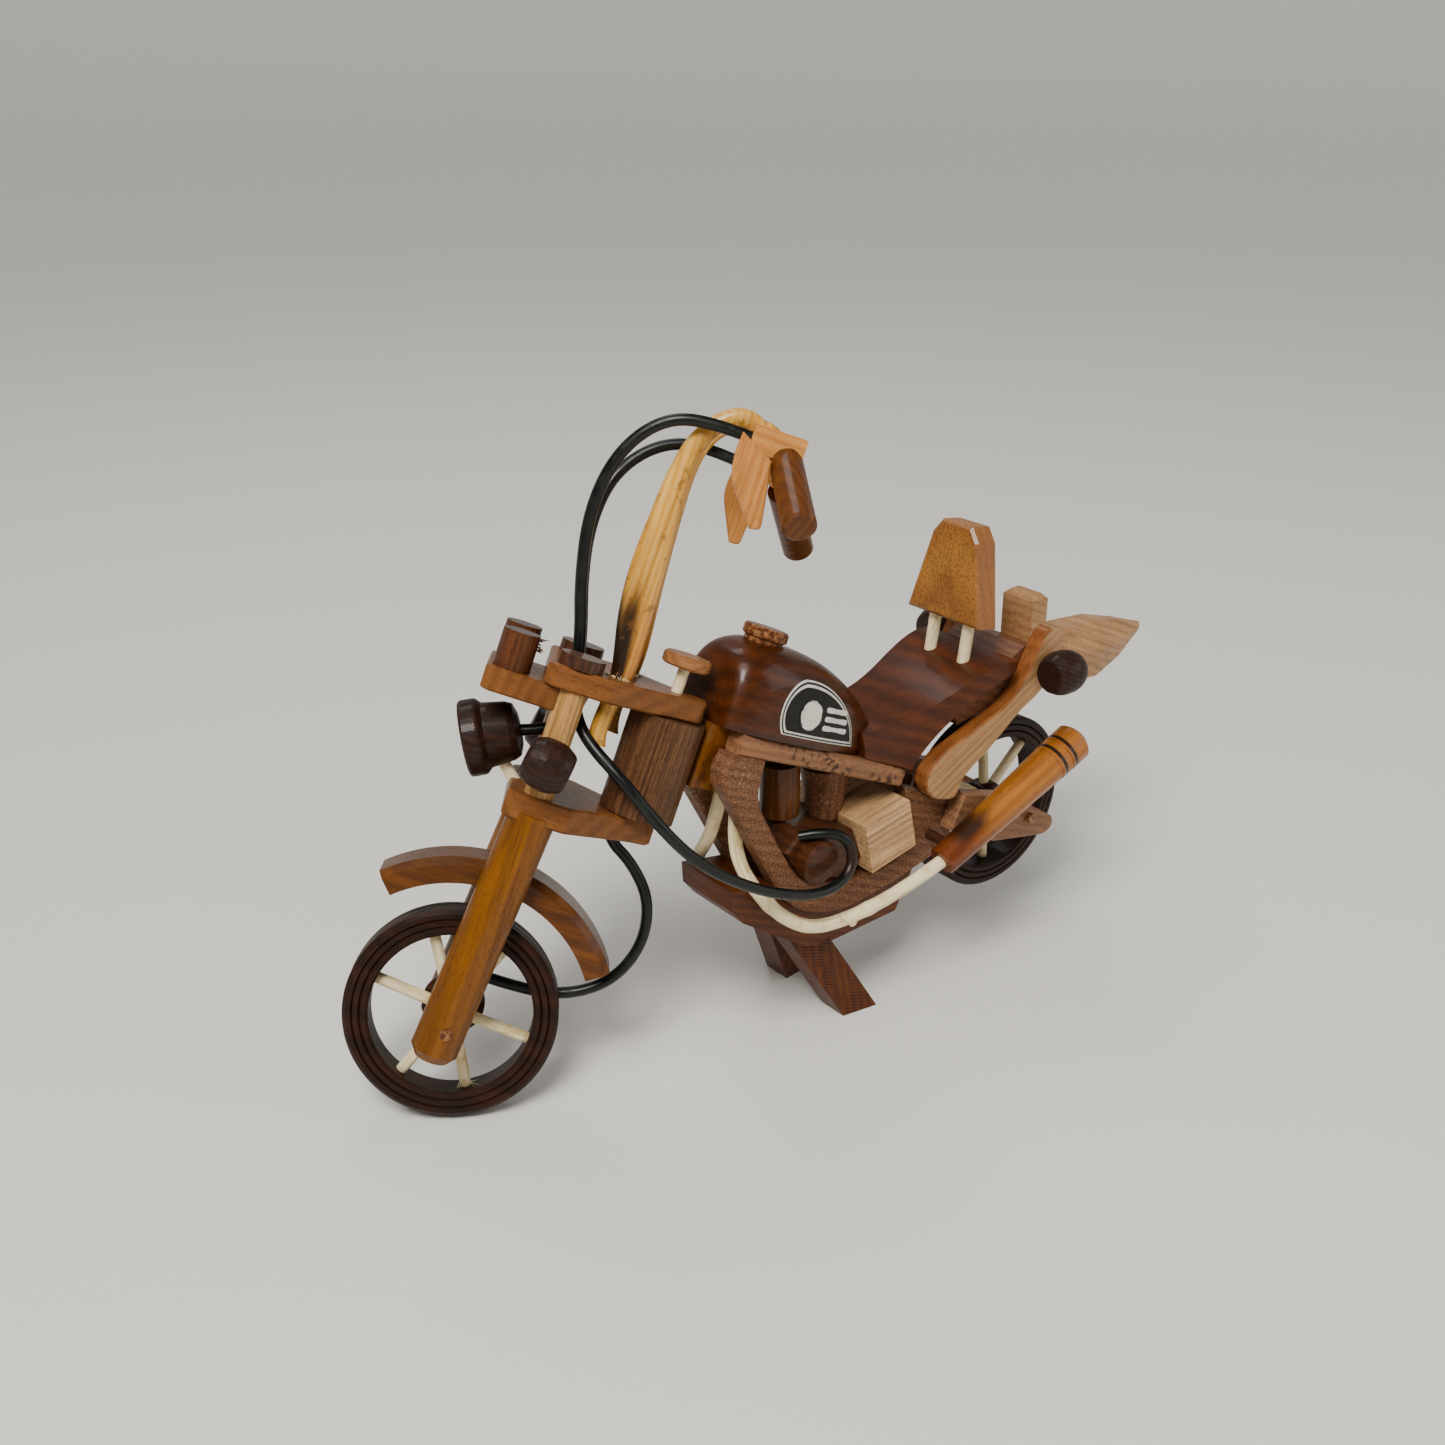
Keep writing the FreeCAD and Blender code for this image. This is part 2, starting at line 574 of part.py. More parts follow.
# ---- struts, tail and rear indicators
half_gap = dim("plate_gap") * 0.5 + dim("plate_t")            # outer face of the side plates
STRUT = [(108.4, 77.0), (107.0, 70.0), (106.6, 61.6), (103.6, 53.0), (91.6, 42.0), (82.2, 33.4), (80.2, 28.0),
         (81.6, 24.4), (86.6, 21.6), (95.6, 22.8), (95.2, 28.6), (98.0, 33.2), (102.2, 38.8), (109.0, 51.2),
         (115.6, 58.6), (118.4, 72.2), (114.6, 77.0)]
signal_x, signal_z = 112.7, 65.9
long_peg = cylinder("rear_signal_peg", dim("peg_r"), 50.0, at(HEAD, signal_x, -25.0, signal_z, ALONG_Y))
for side, sign in SIDES:
    middle = half_gap + dim("strut_t") * 0.5
    board = slab(f"strut_board_{side}", "XZ_Plane", STRUT, dim("strut_t"), rounded=range(len(STRUT)), bevel=0.5)
    board.Placement = at(HEAD, 0, sign * middle, 0)
    drilled[f"strut_{side}"] = cut(f"strut_{side}", board, [long_peg])
keep("struts", gather("struts", [drilled[f"strut_{side}"] for side, _ in SIDES]))
plank = slab("tail_plank", "XZ_Plane",
             [(86.9, 46.9), (95.1, 56.0), (101.3, 62.0), (107.0, 69.3), (117.9, 70.3), (120.4, 64.6), (113.0, 60.0),
              (104.0, 52.0), (91.0, 42.8)], half_gap * 2)
plank.Placement = HEAD
keep("tail_board", cut("tail_board", plank, [long_peg]))
block_x, block_w, block_t = 74.6, 11.6, 6.4
tail_post = box("tail_post", block_t, block_w, 20.6, at(WORLD, block_x, -block_w / 2, 84.0))
doc.recompute()
crown = doc.addObject("Part::Chamfer", "tail_block")
crown.Base = tail_post
crown.Edges = [(i + 1, 1.6, 1.6) for i, e in enumerate(tail_post.Shape.Edges)
               if min(v.Point.z for v in e.Vertexes) > 104]
keep("tail_block", crown)


def spear_section(x, half, low_z, high_z, ease):
    """An upright section of the tail, flat underneath and rounded at the upper corners."""
    pts = [(x, -half * 0.72, low_z), (x, half * 0.72, low_z), (x, half, (low_z + high_z) / 2),
           (x, half * ease, high_z), (x, -half * ease, high_z), (x, -half, (low_z + high_z) / 2)]
    return Part.makePolygon([Vector(*p) for p in pts + pts[:1]])


spear = [(block_x + block_t, 5.6, 76.0, 90.4, 0.62), (94.0, 6.6, 72.6, 90.6, 0.6), (108.0, 6.2, 71.8, 89.8, 0.55),
         (120.0, 3.9, 75.0, 86.8, 0.5), (131.6, 0.9, 80.6, 83.2, 0.5)]
keep("tail_tip", feature("tail_tip", Part.makeLoft([spear_section(*s) for s in spear], True, True)), WORLD)


def barrel(name):
    """A barrel turned about Z, slightly waisted at both ends and burnt dark."""
    waist, end, length = dim("signal_r"), dim("signal_end_r"), dim("signal_length")
    return turned(name, [(0, 0), (end - 0.6, 0), (end, 0.5), (waist - 0.3, 2.6), (waist, 4.2), (waist, length - 4.2),
                         (waist - 0.3, length - 2.6), (end, length - 0.5), (end - 0.6, length), (0, length)])


level_ahead = Rotation(Vector(0, 1, 0), -90 - size("rake"))   # turns +Z to dead ahead, level
back_half = Placement(Vector(0, 0, -size("signal_length") / 2), NO_TURN)
for side, sign in SIDES:
    can = barrel(f"rear_can_{side}")
    beside = sign * (half_gap + dim("strut_t") + dim("signal_r") + 0.1)
    can.Placement = at(HEAD, signal_x, beside, signal_z, level_ahead).multiply(back_half)
    drilled[f"signal_{side}"] = cut(f"rear_signal_{side}", can, [long_peg])
keep("rear_signals", gather("rear_signals", [drilled[f"signal_{side}"] for side, _ in SIDES]))

# ---- swing arms, rear axle and muffler pegs
axle_x = size("rear_axle_x") - size("head_x")
axle_z = size("rear_axle_z") - size("head_z")
rake = math.radians(size("rake"))
hub_u = axle_x * math.cos(rake) - axle_z * math.sin(rake)     # the rear axle seen in HEAD
hub_s = axle_x * math.sin(rake) + axle_z * math.cos(rake)
rear_axle = cylinder("rear_axle", dim("peg_r"), 39.4, at(HEAD, hub_u, -19.7, hub_s, ALONG_Y))
keep("rear_axle", rear_axle)
ARM = [(98.2, 13.8), (119.0, 12.8), (141.0, 17.6), (143.2, 20.4), (142.0, 23.4), (119.0, 27.2), (98.6, 25.0)]
exit_peg = {}
for side, sign in SIDES:
    middle = half_gap + dim("swingarm_t") * 0.5
    arm = slab(f"swingarm_board_{side}", "XZ_Plane", ARM, dim("swingarm_t"), rounded=(2, 3, 4),
               bevel=0.5)
    arm.Placement = at(HEAD, 0, sign * middle, 0)
    drilled[f"arm_{side}"] = cut(f"swing_arm_{side}", arm, [rear_axle, drilled[f"strut_{side}"]])
    foot = sign * (half_gap - 2.0) if sign > 0 else -(half_gap - 2.0)
    exit_peg[side] = cylinder(f"muffler_peg_{side}", dim("peg_r"), 11.0,
                              at(HEAD, 95.6, foot, 10.6, towards((0, sign, 0))))
    drilled[f"muffler_{side}"] = cut(f"muffler_{side}_drilled", mufflers[side], [exit_peg[side]])
    keep(f"side_plate_{side}", cut(f"side_plate_{side}", plates[side], [exit_peg[side]]))
keep("mufflers", gather("mufflers", [drilled[f"muffler_{side}"] for side, _ in SIDES]))
keep("swing_arms", gather("swing_arms", [drilled[f"arm_{side}"] for side, _ in SIDES]))

# ---- centre stand
BASE = [(44.0, -10.8), (30.6, -14.2), (33.4, -19.6), (38.4, -22.2), (64.7, -27.2), (73.0, -25.2), (95.6, -13.8),
        (96.5, 0.4), (88.0, -5.6), (73.0, -14.6), (61.0, -17.3), (49.0, -14.6)]
base = slab("stand_plank", "XZ_Plane", BASE, 22.0)
base.Placement = HEAD
dowel = cylinder("stand_dowel", dim("peg_r"), 23.0, at(HEAD, 79.5, -11.5, -18.4, ALONG_Y))
keep("frame_pegs", gather("frame_pegs", [long_peg, dowel] + list(exit_peg.values())))
doc.recompute()
shell = [parts["side_plate_left"], parts["side_plate_right"], parts["crankcase"], parts["exhaust_pipes"], dowel]
keep("stand_base", cut("stand_base", base, shell))
floor = box("table_top", 400, 400, 50, at(WORLD, -200, -200, -50))
for side, sign in SIDES:
    head_end, foot_end = Vector(-13.0, sign * 4.8, 27.0), Vector(3.4, sign * 14.4, -4.0)
    grain = (foot_end - head_end).normalize()
    wide = Vector(0, sign, 0) - grain * (sign * grain.y)
    turn = Rotation(grain.cross(wide.normalize()), wide, grain, "ZXY")
    stick = box(f"stand_stick_{side}", dim("stand_w"), 8.6, 38.0,
                at(WORLD, *head_end, turn).multiply(Placement(Vector(-size("stand_w") / 2, -4.3, 0), NO_TURN)))
    drilled[f"stand_{side}"] = cut(f"stand_leg_{side}", stick, [parts["stand_base"], floor])
keep("stand_legs", gather("stand_legs", [drilled[f"stand_{side}"] for side, _ in SIDES]))

# ================================================================ fork, in the FORK frame: ahead is -X
yoke_front, ahead = -dim("yoke_front"), -size("fork_ahead")
half = dim("yoke_half")


def yoke_outline(tail_x, tail_half):
    """A teardrop in plan: straight across the front, drawn in to a rounded tail behind the axis."""
    near = [(yoke_front, half - 2.5), (yoke_front + 2.5, half), (yoke_front + 16.0, half - 0.3),
            (tail_x - 5.0, tail_half + 1.8), (tail_x, tail_half)]
    return [(x, -y) for x, y in near] + [(x, y) for x, y in reversed(near)]


pin = cylinder("steering_pin", dim("peg_r"), dim("knob_z") + dim("yoke_t"), at(FORK, 0, 0, -dim("yoke_t")))
keep("steering_pin", pin)
knob = turned("steering_knob", [(0, 0), (dim("knob_r") - 0.6, 0), (dim("knob_r"), 0.5),
                                (dim("knob_r"), dim("knob_t") - 0.6), (dim("knob_r") - 0.7, dim("knob_t")),
                                (0, dim("knob_t"))])
keep("steering_knob", knob, at(FORK, 0, 0, dim("knob_z")))
top_face = dim("top_yoke_z") + dim("top_yoke_t")
tilt = size("leg_tilt")
stanchions, legs, caps = [], [], []
for side, sign in SIDES:
    y = sign * dim("fork_half")
    stanchions.append(cylinder(f"stanchion_{side}", dim("stanchion_r"), top_face + dim("yoke_t"),
                               at(FORK, ahead, y, -dim("yoke_t"))))
    caps.append(cylinder(f"cap_{side}", dim("cap_r"), dim("cap_t"), at(FORK, ahead, y, top_face)))
    r = dim("leg_r")
    leg = turned(f"leg_turned_{side}", [(0, -2.0), (r, -2.0), (r, dim("leg_length") - 2.2),
                                        (r - 1.6, dim("leg_length")), (0, dim("leg_length"))])
    leg.Placement = at(FORK, ahead, y, -dim("yoke_t"), Rotation(Vector(0, 1, 0), 180 + tilt))
    legs.append(leg)
keep("stanchions", gather("stanchions", stanchions))
keep("fork_caps", gather("fork_caps", caps))

# front axle: straight below the top of the legs, along their lean
drop, lean_back = size("axle_drop"), math.radians(tilt)
axle = (ahead - drop * math.sin(lean_back) + 1.0, -size("yoke_t") - drop * math.cos(lean_back))
front_axle = cylinder("front_axle", dim("peg_r"), 37.6, at(FORK, axle[0], -18.8, axle[1], ALONG_Y))
keep("front_axle", front_axle)

# wheels, turned about Z and then laid over so that Z runs along +Y
def wheel(prefix, frame, centre_x, centre_z, width, disc):
    """Rim, spokes and hub of one wheel, and the disc on its right-hand side."""
    place = at(frame, centre_x, 0, centre_z, ALONG_Y)
    outer, inner, g = dim("wheel_r"), dim("rim_bore_r"), dim("groove")
    w = width * 0.5
    near = [(inner, w - 0.6), (inner + 0.6, w), (inner + 1.7, w), (inner + 2.1, w - g), (inner + 2.5, w),
            (inner + 3.7, w), (inner + 4.0, w - g), (inner + 4.3, w), (outer - 0.9, w), (outer, w - 0.8),
            (outer, w * 0.5), (outer - g, w * 0.5 - 0.35), (outer, w * 0.5 - 0.7)]
    rim = turned(f"{prefix}_rim_turned", near + [(r, -z) for r, z in reversed(near)])
    hub_half = dim("hub_w") * 0.5
    bore, belly = dim("peg_bore_r"), dim("hub_r")
    side_profile = [(bore, hub_half), (belly - 1.4, hub_half), (belly - 0.4, hub_half - 1.0), (belly, hub_half - 2.2)]
    hub = turned(f"{prefix}_hub_turned", side_profile + [(r, -z) for r, z in reversed(side_profile)])
    spokes = []
    for number in range(int(size("spoke_count"))):
        angle = 60.0 * number + 9.0 * math.sin(2.2 * number + 0.6)
        spin = Rotation(Vector(0, 0, 1), angle).multiply(Rotation(Vector(0, 1, 0), 90))
        stick = cylinder(f"{prefix}_spoke_{number + 1}", dim("peg_r"), inner + 0.9 - 3.2, WORLD)
        stick.Placement = place.multiply(Placement(Vector(), spin)).multiply(Placement(Vector(0, 0, 3.2), NO_TURN))
        spokes.append(stick)
    rim.Placement = hub.Placement = place
    bundle = gather(f"{prefix}_spokes", spokes)
    keep(f"{prefix}_spokes", bundle)
    keep(f"{prefix}_rim", cut(f"{prefix}_rim", rim, [bundle]))
    keep(f"{prefix}_hub", cut(f"{prefix}_hub", hub, [bundle]))
    if disc:
        plate = turned(f"{prefix}_disc", [(bore, 0), (dim("disc_r"), 0), (dim("disc_r"), dim("disc_t")),
                                          (bore, dim("disc_t"))])
        keep("brake_disc", plate, place.multiply(Placement(Vector(0, 0, float(hub_half)), NO_TURN)))


wheel("front", FORK, axle[0], axle[1], dim("front_rim_w"), True)
wheel("rear", HEAD, hub_u, hub_s, dim("rear_rim_w"), False)

# ---- mudguard: an arc of a ring round the front wheel, its outer corners planed off
first, sweep = 48.0, 99.0                                    # from straight ahead, up and over
start = math.radians(first)
x_axis = Vector(-math.cos(start), 0, math.sin(start))
over = Rotation(x_axis, Vector(math.sin(start), 0, math.cos(start)), Vector(0, 1, 0), "ZXY")
guard_place = at(FORK, axle[0], -dim("guard_half"), axle[1], over)
sector = cylinder("guard_sector", dim("guard_out_r"), dim("guard_half") * 2, guard_place)
sector.Angle = sweep
inside = cylinder("guard_inside", dim("guard_in_r"), dim("guard_half") * 2 + 2,
                  guard_place.multiply(Placement(Vector(0, 0, -1), NO_TURN)))
arch = cut("guard_arch", sector, [inside])
doc.recompute()
planed = doc.addObject("Part::Chamfer", "guard_planed")
planed.Base = arch
planed.Edges = [(n + 1, 1.8, 1.8) for n, e in enumerate(arch.Shape.Edges)
                if hasattr(e.Curve, "Radius") and abs(e.Curve.Radius - size("guard_out_r")) < 1e-3]

# ---- headlamp: a turned cup on a peg from the lower yoke
lamp_axis = Vector(-math.cos(math.radians(28.7)), 0, -math.sin(math.radians(28.7)))
lamp_back = Vector(-33.8, 0, 11.9)
rim_r, length = dim("lamp_r"), dim("lamp_length")
lamp = turned("lamp_turned", [(0, 0), (4.2, 0), (6.6, 0.9), (7.4, 2.6), (rim_r - 1.4, length - 5.6),
                              (rim_r - 0.2, length - 4.4), (rim_r, length - 3.8), (rim_r, length - 0.6),
                              (rim_r - 0.5, length), (dim("lamp_dish_r"), length),
                              (dim("lamp_dish_r") - 0.8, length - dim("lamp_dish_depth") * 0.6),
                              (3.0, length - dim("lamp_dish_depth")), (0, length - dim("lamp_dish_depth"))])
lamp.Placement = at(FORK, *lamp_back, towards(lamp_axis))
lamp_peg = cylinder("headlamp_peg", dim("peg_r"), 13.4, at(FORK, -28.6, 0, -3.4, towards((-9.4, 0, 8.6))))

# ---- yokes, gauge plate and gauges
lower = slab("lower_yoke_board", "XY_Plane", yoke_outline(dim("tip_r"), 2.6), dim("yoke_t"),
             rounded=(1, 3, 4, 5, 6, 8), bevel=0.5, both_ways=False)
lower.Placement = at(FORK, 0, 0, -dim("yoke_t"))
upper = slab("upper_yoke_board", "XY_Plane", yoke_outline(dim("top_tip_r") + 0.4, 3.6), dim("top_yoke_t"),
             rounded=(1, 3, 4, 5, 6, 8), bevel=0.5, both_ways=False)
upper.Placement = at(FORK, 0, 0, dim("top_yoke_z"))
plate_half = dim("gauge_plate_half")
shelf = slab("gauge_board", "XY_Plane", [(-dim("gauge_plate_front"), 2.0 - plate_half),
                                         (2.0 - dim("gauge_plate_front"), -plate_half), (-27.0, -plate_half),
                                         (-27.0, plate_half), (2.0 - dim("gauge_plate_front"), plate_half),
                                         (-dim("gauge_plate_front"), plate_half - 2.0)],
             dim("gauge_plate_t"), bevel=0.5, both_ways=False)
shelf.Placement = at(FORK, 0, 0, dim("top_yoke_z") - dim("gauge_plate_t"))
gauges = []
for side, sign in SIDES:
    spot = at(FORK, -dim("gauge_ahead"), sign * dim("gauge_half"), dim("top_yoke_z"))
    gauges.append(cylinder(f"gauge_{side}", dim("gauge_r"), dim("gauge_h"), spot))
keep("gauges", gather("gauges", gauges))

# ---- indicators on pegs through the stanchions
signal_pegs, signals = [], []
for side, sign in SIDES:
    signal_pegs.append(cylinder(f"front_signal_peg_{side}", dim("peg_r"), 11.0,
                                at(FORK, ahead, sign * size("fork_half"), 9.6, towards((0, sign, 0)))))
    can = barrel(f"front_can_{side}")
    can.Placement = at(FORK, ahead - 0.6, sign * dim("signal_out"), 9.6, towards((-1, 0, 0.16))).multiply(back_half)
    signals.append(cut(f"front_signal_{side}", can, [signal_pegs[-1]]))
keep("front_signals", gather("front_signals", signals))
keep("fork_pegs", gather("fork_pegs", signal_pegs + [lamp_peg]))

# ---- handlebars: f ahead of the axis, s along it; the right-hand bar droops a little more
BARS = {
    "left": [(15.3, 15.4), (15.4, 40.0), (17.0, 60.0), (17.0, 74.0), (16.4, 87.0), (13.6, 95.6), (7.2, 100.2),
             (0.5, 98.2)],
    "right": [(12.2, 17.2), (13.0, 40.0), (15.4, 60.0), (15.6, 73.0), (14.8, 86.0), (11.6, 95.4), (5.6, 99.8),
              (-1.4, 96.6), (-4.6, 91.4)],
}
BRACKETS = {"left": (-2.6, 97.2, 0.0), "right": (-7.4, 91.2, -14.0)}
GRIP_WAYS = {"left": (0.21, -0.81, -0.53), "right": (0.45, 0.72, -0.53)}   # out, back and down


def bar_section(point, tangent, wide, thin):
    """An ellipse square to the bar, its long axis fore and aft."""
    across = Vector(0, 1, 0)
    long_way = across.cross(tangent).normalize()
    ellipse = Part.Ellipse(point + long_way * wide, point + tangent.cross(long_way).normalize() * thin, point)
    return Part.Wire(ellipse.toShape())


def handlebar(side, sign):
    points = BARS[side]
    base_y, splay = size("bar_half"), size("bar_splay")
    high = points[-1][1]
    spine = Part.BSplineCurve()
    spine.interpolate([Vector(-f, sign * (base_y + splay * max(0.0, (s_ - 26) / (high - 26)) ** 1.3), s_)
                       for f, s_ in points])
    first_k, last_k = spine.FirstParameter, spine.LastParameter
    stations = [(0.0, 2.4, 2.3), (0.16, 2.6, 2.4), (0.30, 3.9, 2.5), (0.45, 4.3, 2.4), (0.6, 3.6, 2.2),
                (0.74, 2.8, 2.0), (0.87, 2.3, 1.9), (1.0, 2.2, 1.9)]
    wires = []
    for share, wide, thin in stations:
        k = first_k + share * (last_k - first_k)
        tangent = Vector(*spine.tangent(k)[0])
        wires.append(bar_section(spine.value(k), tangent, wide, thin))
    return Part.makeLoft(wires, True, False)


bars, levers, brackets, grips = [], [], [], []
for side, sign in SIDES:
    bar = feature(f"bar_{side}", handlebar(side, sign))
    bar.Placement = FORK
    f, s_, pitch = BRACKETS[side]
    y = sign * size("bracket_y")
    turn = Rotation(Vector(0, 1, 0), -pitch)
    spot = at(FORK, -f, y, s_, turn)
    corner = Placement(Vector(-size("bracket_length") / 2, -size("bracket_w") / 2, -size("bracket_h") / 2), NO_TURN)
    block = box(f"bracket_box_{side}", dim("bracket_length"), dim("bracket_w"), dim("bracket_h"),
                spot.multiply(corner))
    grip = turned(f"grip_turned_{side}", [(0, 0), (dim("grip_r"), 0), (dim("grip_r"), dim("grip_length") - 0.8),
                                          (dim("grip_r") - 0.7, dim("grip_length")), (0, dim("grip_length"))])
    grip.Placement = at(FORK, -f + 3.2, y + sign * 2.0, s_ - 3.2, towards(GRIP_WAYS[side]))
    lever = slab(f"lever_{side}", "XZ_Plane",
                 [(-7.8, 1.2), (-8.2, -4.2), (-7.0, -10.2), (0.8, -19.6), (3.4, -19.0), (2.4, -13.0), (0.6, -3.2)],
                 dim("lever_t"), rounded=(1, 2, 4), bevel=0.4)
    outer = sign * (dim("bracket_w") * 0.5 + dim("lever_t") * 0.5)
    lever.Placement = spot.multiply(Placement(Vector(-1.2, float(outer), -1.0), NO_TURN))
    keep(f"handlebar_{side}", cut(f"handlebar_{side}", bar, [block]))
    levers.append(cut(f"lever_{side}_notched", lever, [grip]))
    brackets.append(cut(f"bracket_{side}", block, [grip]))
    grips.append(grip)
    bars.append(bar)
keep("levers", gather("levers", levers))
keep("grips", gather("grips", grips))

# ---- vinyl cords: f ahead, l to the left, s along the axis
CORDS = {
    "control_cable_left": [(24.6, 3.6, 27.4), (26.4, 4.4, 37.0), (31.4, 6.4, 52.0), (34.6, 8.6, 69.0),
                           (32.4, 10.6, 84.0), (24.6, 12.2, 94.6), (13.8, 12.8, 97.4), (2.4, 12.8, 96.8)],
    "control_cable_right": [(24.2, -3.6, 27.4), (26.0, -4.4, 37.0), (30.8, -6.6, 52.0), (33.0, -9.2, 66.0),
                            (31.0, -11.4, 79.0), (22.8, -12.8, 89.0), (11.6, -12.9, 92.4), (-2.6, -12.8, 90.6)],
    "brake_cable": [(7.6, -7.2, -1.4), (4.6, -7.6, -9.4), (-4.2, -8.0, -14.2), (-11.6, -8.2, -22.6),
                    (-13.6, -8.4, -34.6), (-9.0, -8.6, -46.2), (1.2, -8.8, -53.2), (14.0, -8.8, -55.0),
                    (25.6, -9.0, -54.4)],
    "lamp_wire": [(21.4, -2.0, 26.3), (22.0, -1.0, 20.2), (26.6, 0.0, 13.6), (36.0, 0.0, 10.9)],
}
cords = {}
for name, points in CORDS.items():
    cords[name] = feature(name, rod([(-f, -l, s_) for f, l, s_ in points], size("cable_r"), name))
    keep(name, cords[name], FORK)
clutch = [(-22.1, 10.9, 26.1), (-21.8, 9.2, 21.6), (-20.6, 2.4, 15.8), (-14.6, -8.4, 10.0), (-5.0, -15.6, 2.0),
          (7.6, -18.8, -4.8), (22.6, -20.8, -8.4), (37.6, -21.8, -9.6), (51.4, -21.8, -8.4), (60.8, -20.8, -2.6),
          (60.4, -18.8, 5.4), (53.4, -16.4, 8.2), (47.4, -11.0, 3.6)]
cords["clutch_cable"] = keep("clutch_cable", feature("clutch_cable", rod(clutch, size("cable_r"), "clutch cable")),
                             HEAD)

# ---- drilled and notched pieces: each is cut by what is pressed into it
yoke_holes = [parts["stanchions"], pin, cords["brake_cable"], lamp_peg]
keep("lower_yoke", cut("lower_yoke", lower, yoke_holes))
keep("upper_yoke", cut("upper_yoke", upper, [parts["stanchions"], pin, *bars,
                                             cords["control_cable_left"], cords["control_cable_right"]]))
keep("gauge_plate", cut("gauge_plate", shelf, [parts["stanchions"]]))
keep("headlamp", cut("headlamp", lamp, [lamp_peg, cords["lamp_wire"]]))
doc.recompute()
fitted = []
for side, leg in zip(("left", "right"), legs):
    tools = [front_axle, parts["lower_yoke"], parts["stanchions"]]
    if side == "right":
        tools.append(cords["brake_cable"])
    fitted.append(cut(f"fork_leg_{side}", leg, tools))
keep("fork_legs", gather("fork_legs", fitted))
keep("front_mudguard", cut("front_mudguard", planed, fitted))
keep("stanchions", cut("stanchions_drilled", parts["stanchions"], signal_pegs))
keep("crankcase", cut("crankcase_drilled", parts["crankcase"],
                      [cords["clutch_cable"], parts["front_cylinder"], parts["rear_cylinder"],
                       parts["air_box"], parts["oil_tank"], *plates.values()]))
drilled_brackets = []
for (side, _), bracket in zip(SIDES, brackets):
    drilled_brackets.append(cut(f"bracket_{side}_drilled", bracket, [cords[f"control_cable_{side}"]]))
keep("brackets", gather("brackets_drilled", drilled_brackets))
keep("tank", cut("tank_fitted", parts["tank"], [parts["tank_cap"]]))
doc.recompute()
faults = [o.Name for o in doc.Objects if {"Invalid", "Error"} & set(o.State)]
faults += [node for node, obj in parts.items() if obj.Shape.isNull() or not obj.Shape.isValid()]
if faults:
    raise SystemExit(f"these objects failed: {faults}")
os.makedirs("parts", exist_ok=True)
for node, obj in parts.items():
    room = obj.Shape.BoundBox
    spans = [(room.XMin, room.XMax), (room.YMin, room.YMax), (room.ZMin, room.ZMax)]
    print(f"{node}: {len(obj.Shape.Solids)} solid(s), {obj.Shape.Volume:.0f} mm3,",
          "  ".join(f"{axis} {low:.1f}..{high:.1f}" for axis, (low, high) in zip("xyz", spans)))
    obj.Shape.exportStep(f"parts/{node}.step")
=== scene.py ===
"""Looks of a hand-made wooden chopper motorcycle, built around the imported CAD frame."""
import math
import random

import bpy
import bmesh
from mathutils import Matrix, Vector
from mathutils.bvhtree import BVHTree


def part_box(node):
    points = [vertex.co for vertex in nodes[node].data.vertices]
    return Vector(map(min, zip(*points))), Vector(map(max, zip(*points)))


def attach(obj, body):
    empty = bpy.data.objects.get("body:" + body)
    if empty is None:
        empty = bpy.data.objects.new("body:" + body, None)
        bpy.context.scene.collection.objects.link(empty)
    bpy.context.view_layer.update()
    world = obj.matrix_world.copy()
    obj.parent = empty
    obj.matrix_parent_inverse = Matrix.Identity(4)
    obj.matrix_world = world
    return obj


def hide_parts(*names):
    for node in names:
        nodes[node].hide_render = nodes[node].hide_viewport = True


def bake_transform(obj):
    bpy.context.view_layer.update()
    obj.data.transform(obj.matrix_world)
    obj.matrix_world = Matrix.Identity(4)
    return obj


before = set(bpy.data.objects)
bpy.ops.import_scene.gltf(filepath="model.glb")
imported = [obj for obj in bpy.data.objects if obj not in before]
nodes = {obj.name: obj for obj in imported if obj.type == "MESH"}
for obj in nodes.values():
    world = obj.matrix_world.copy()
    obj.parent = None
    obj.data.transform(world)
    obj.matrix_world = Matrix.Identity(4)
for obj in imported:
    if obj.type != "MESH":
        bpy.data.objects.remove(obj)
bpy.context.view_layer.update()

# ---- frames of the model: HEAD has its z along the steering axis, FORK is HEAD turned with the bars
RAKE = math.radians(24.0)
REST_TURN = math.radians(35.0)
CENTRE_Y = -0.00244
HEAD = Matrix.Translation((-0.06104, CENTRE_Y, 0.0744)) @ Matrix.Rotation(RAKE, 4, "Y")
FORK = HEAD @ Matrix.Rotation(-REST_TURN, 4, "Z")
X, Y, Z = Vector((1, 0, 0)), Vector((0, 1, 0)), Vector((0, 0, 1))


def direction(place, x, y, z):
    """A direction given in one of the frames, in the row frame."""
    return (place.to_3x3() @ Vector((x, y, z))).normalized()


def middle(node):
    """The middle of a CAD node's box."""
    low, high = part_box(node)
    return (low + high) / 2


# ---- materials
def linear(code):
    """A colour such as "b97a34" as linear RGBA."""
    channels = [int(code[i:i + 2], 16) / 255 for i in (0, 2, 4)]
    return tuple(c / 12.92 if c <= 0.04045 else ((c + 0.055) / 1.055) ** 2.4 for c in channels) + (1.0,)


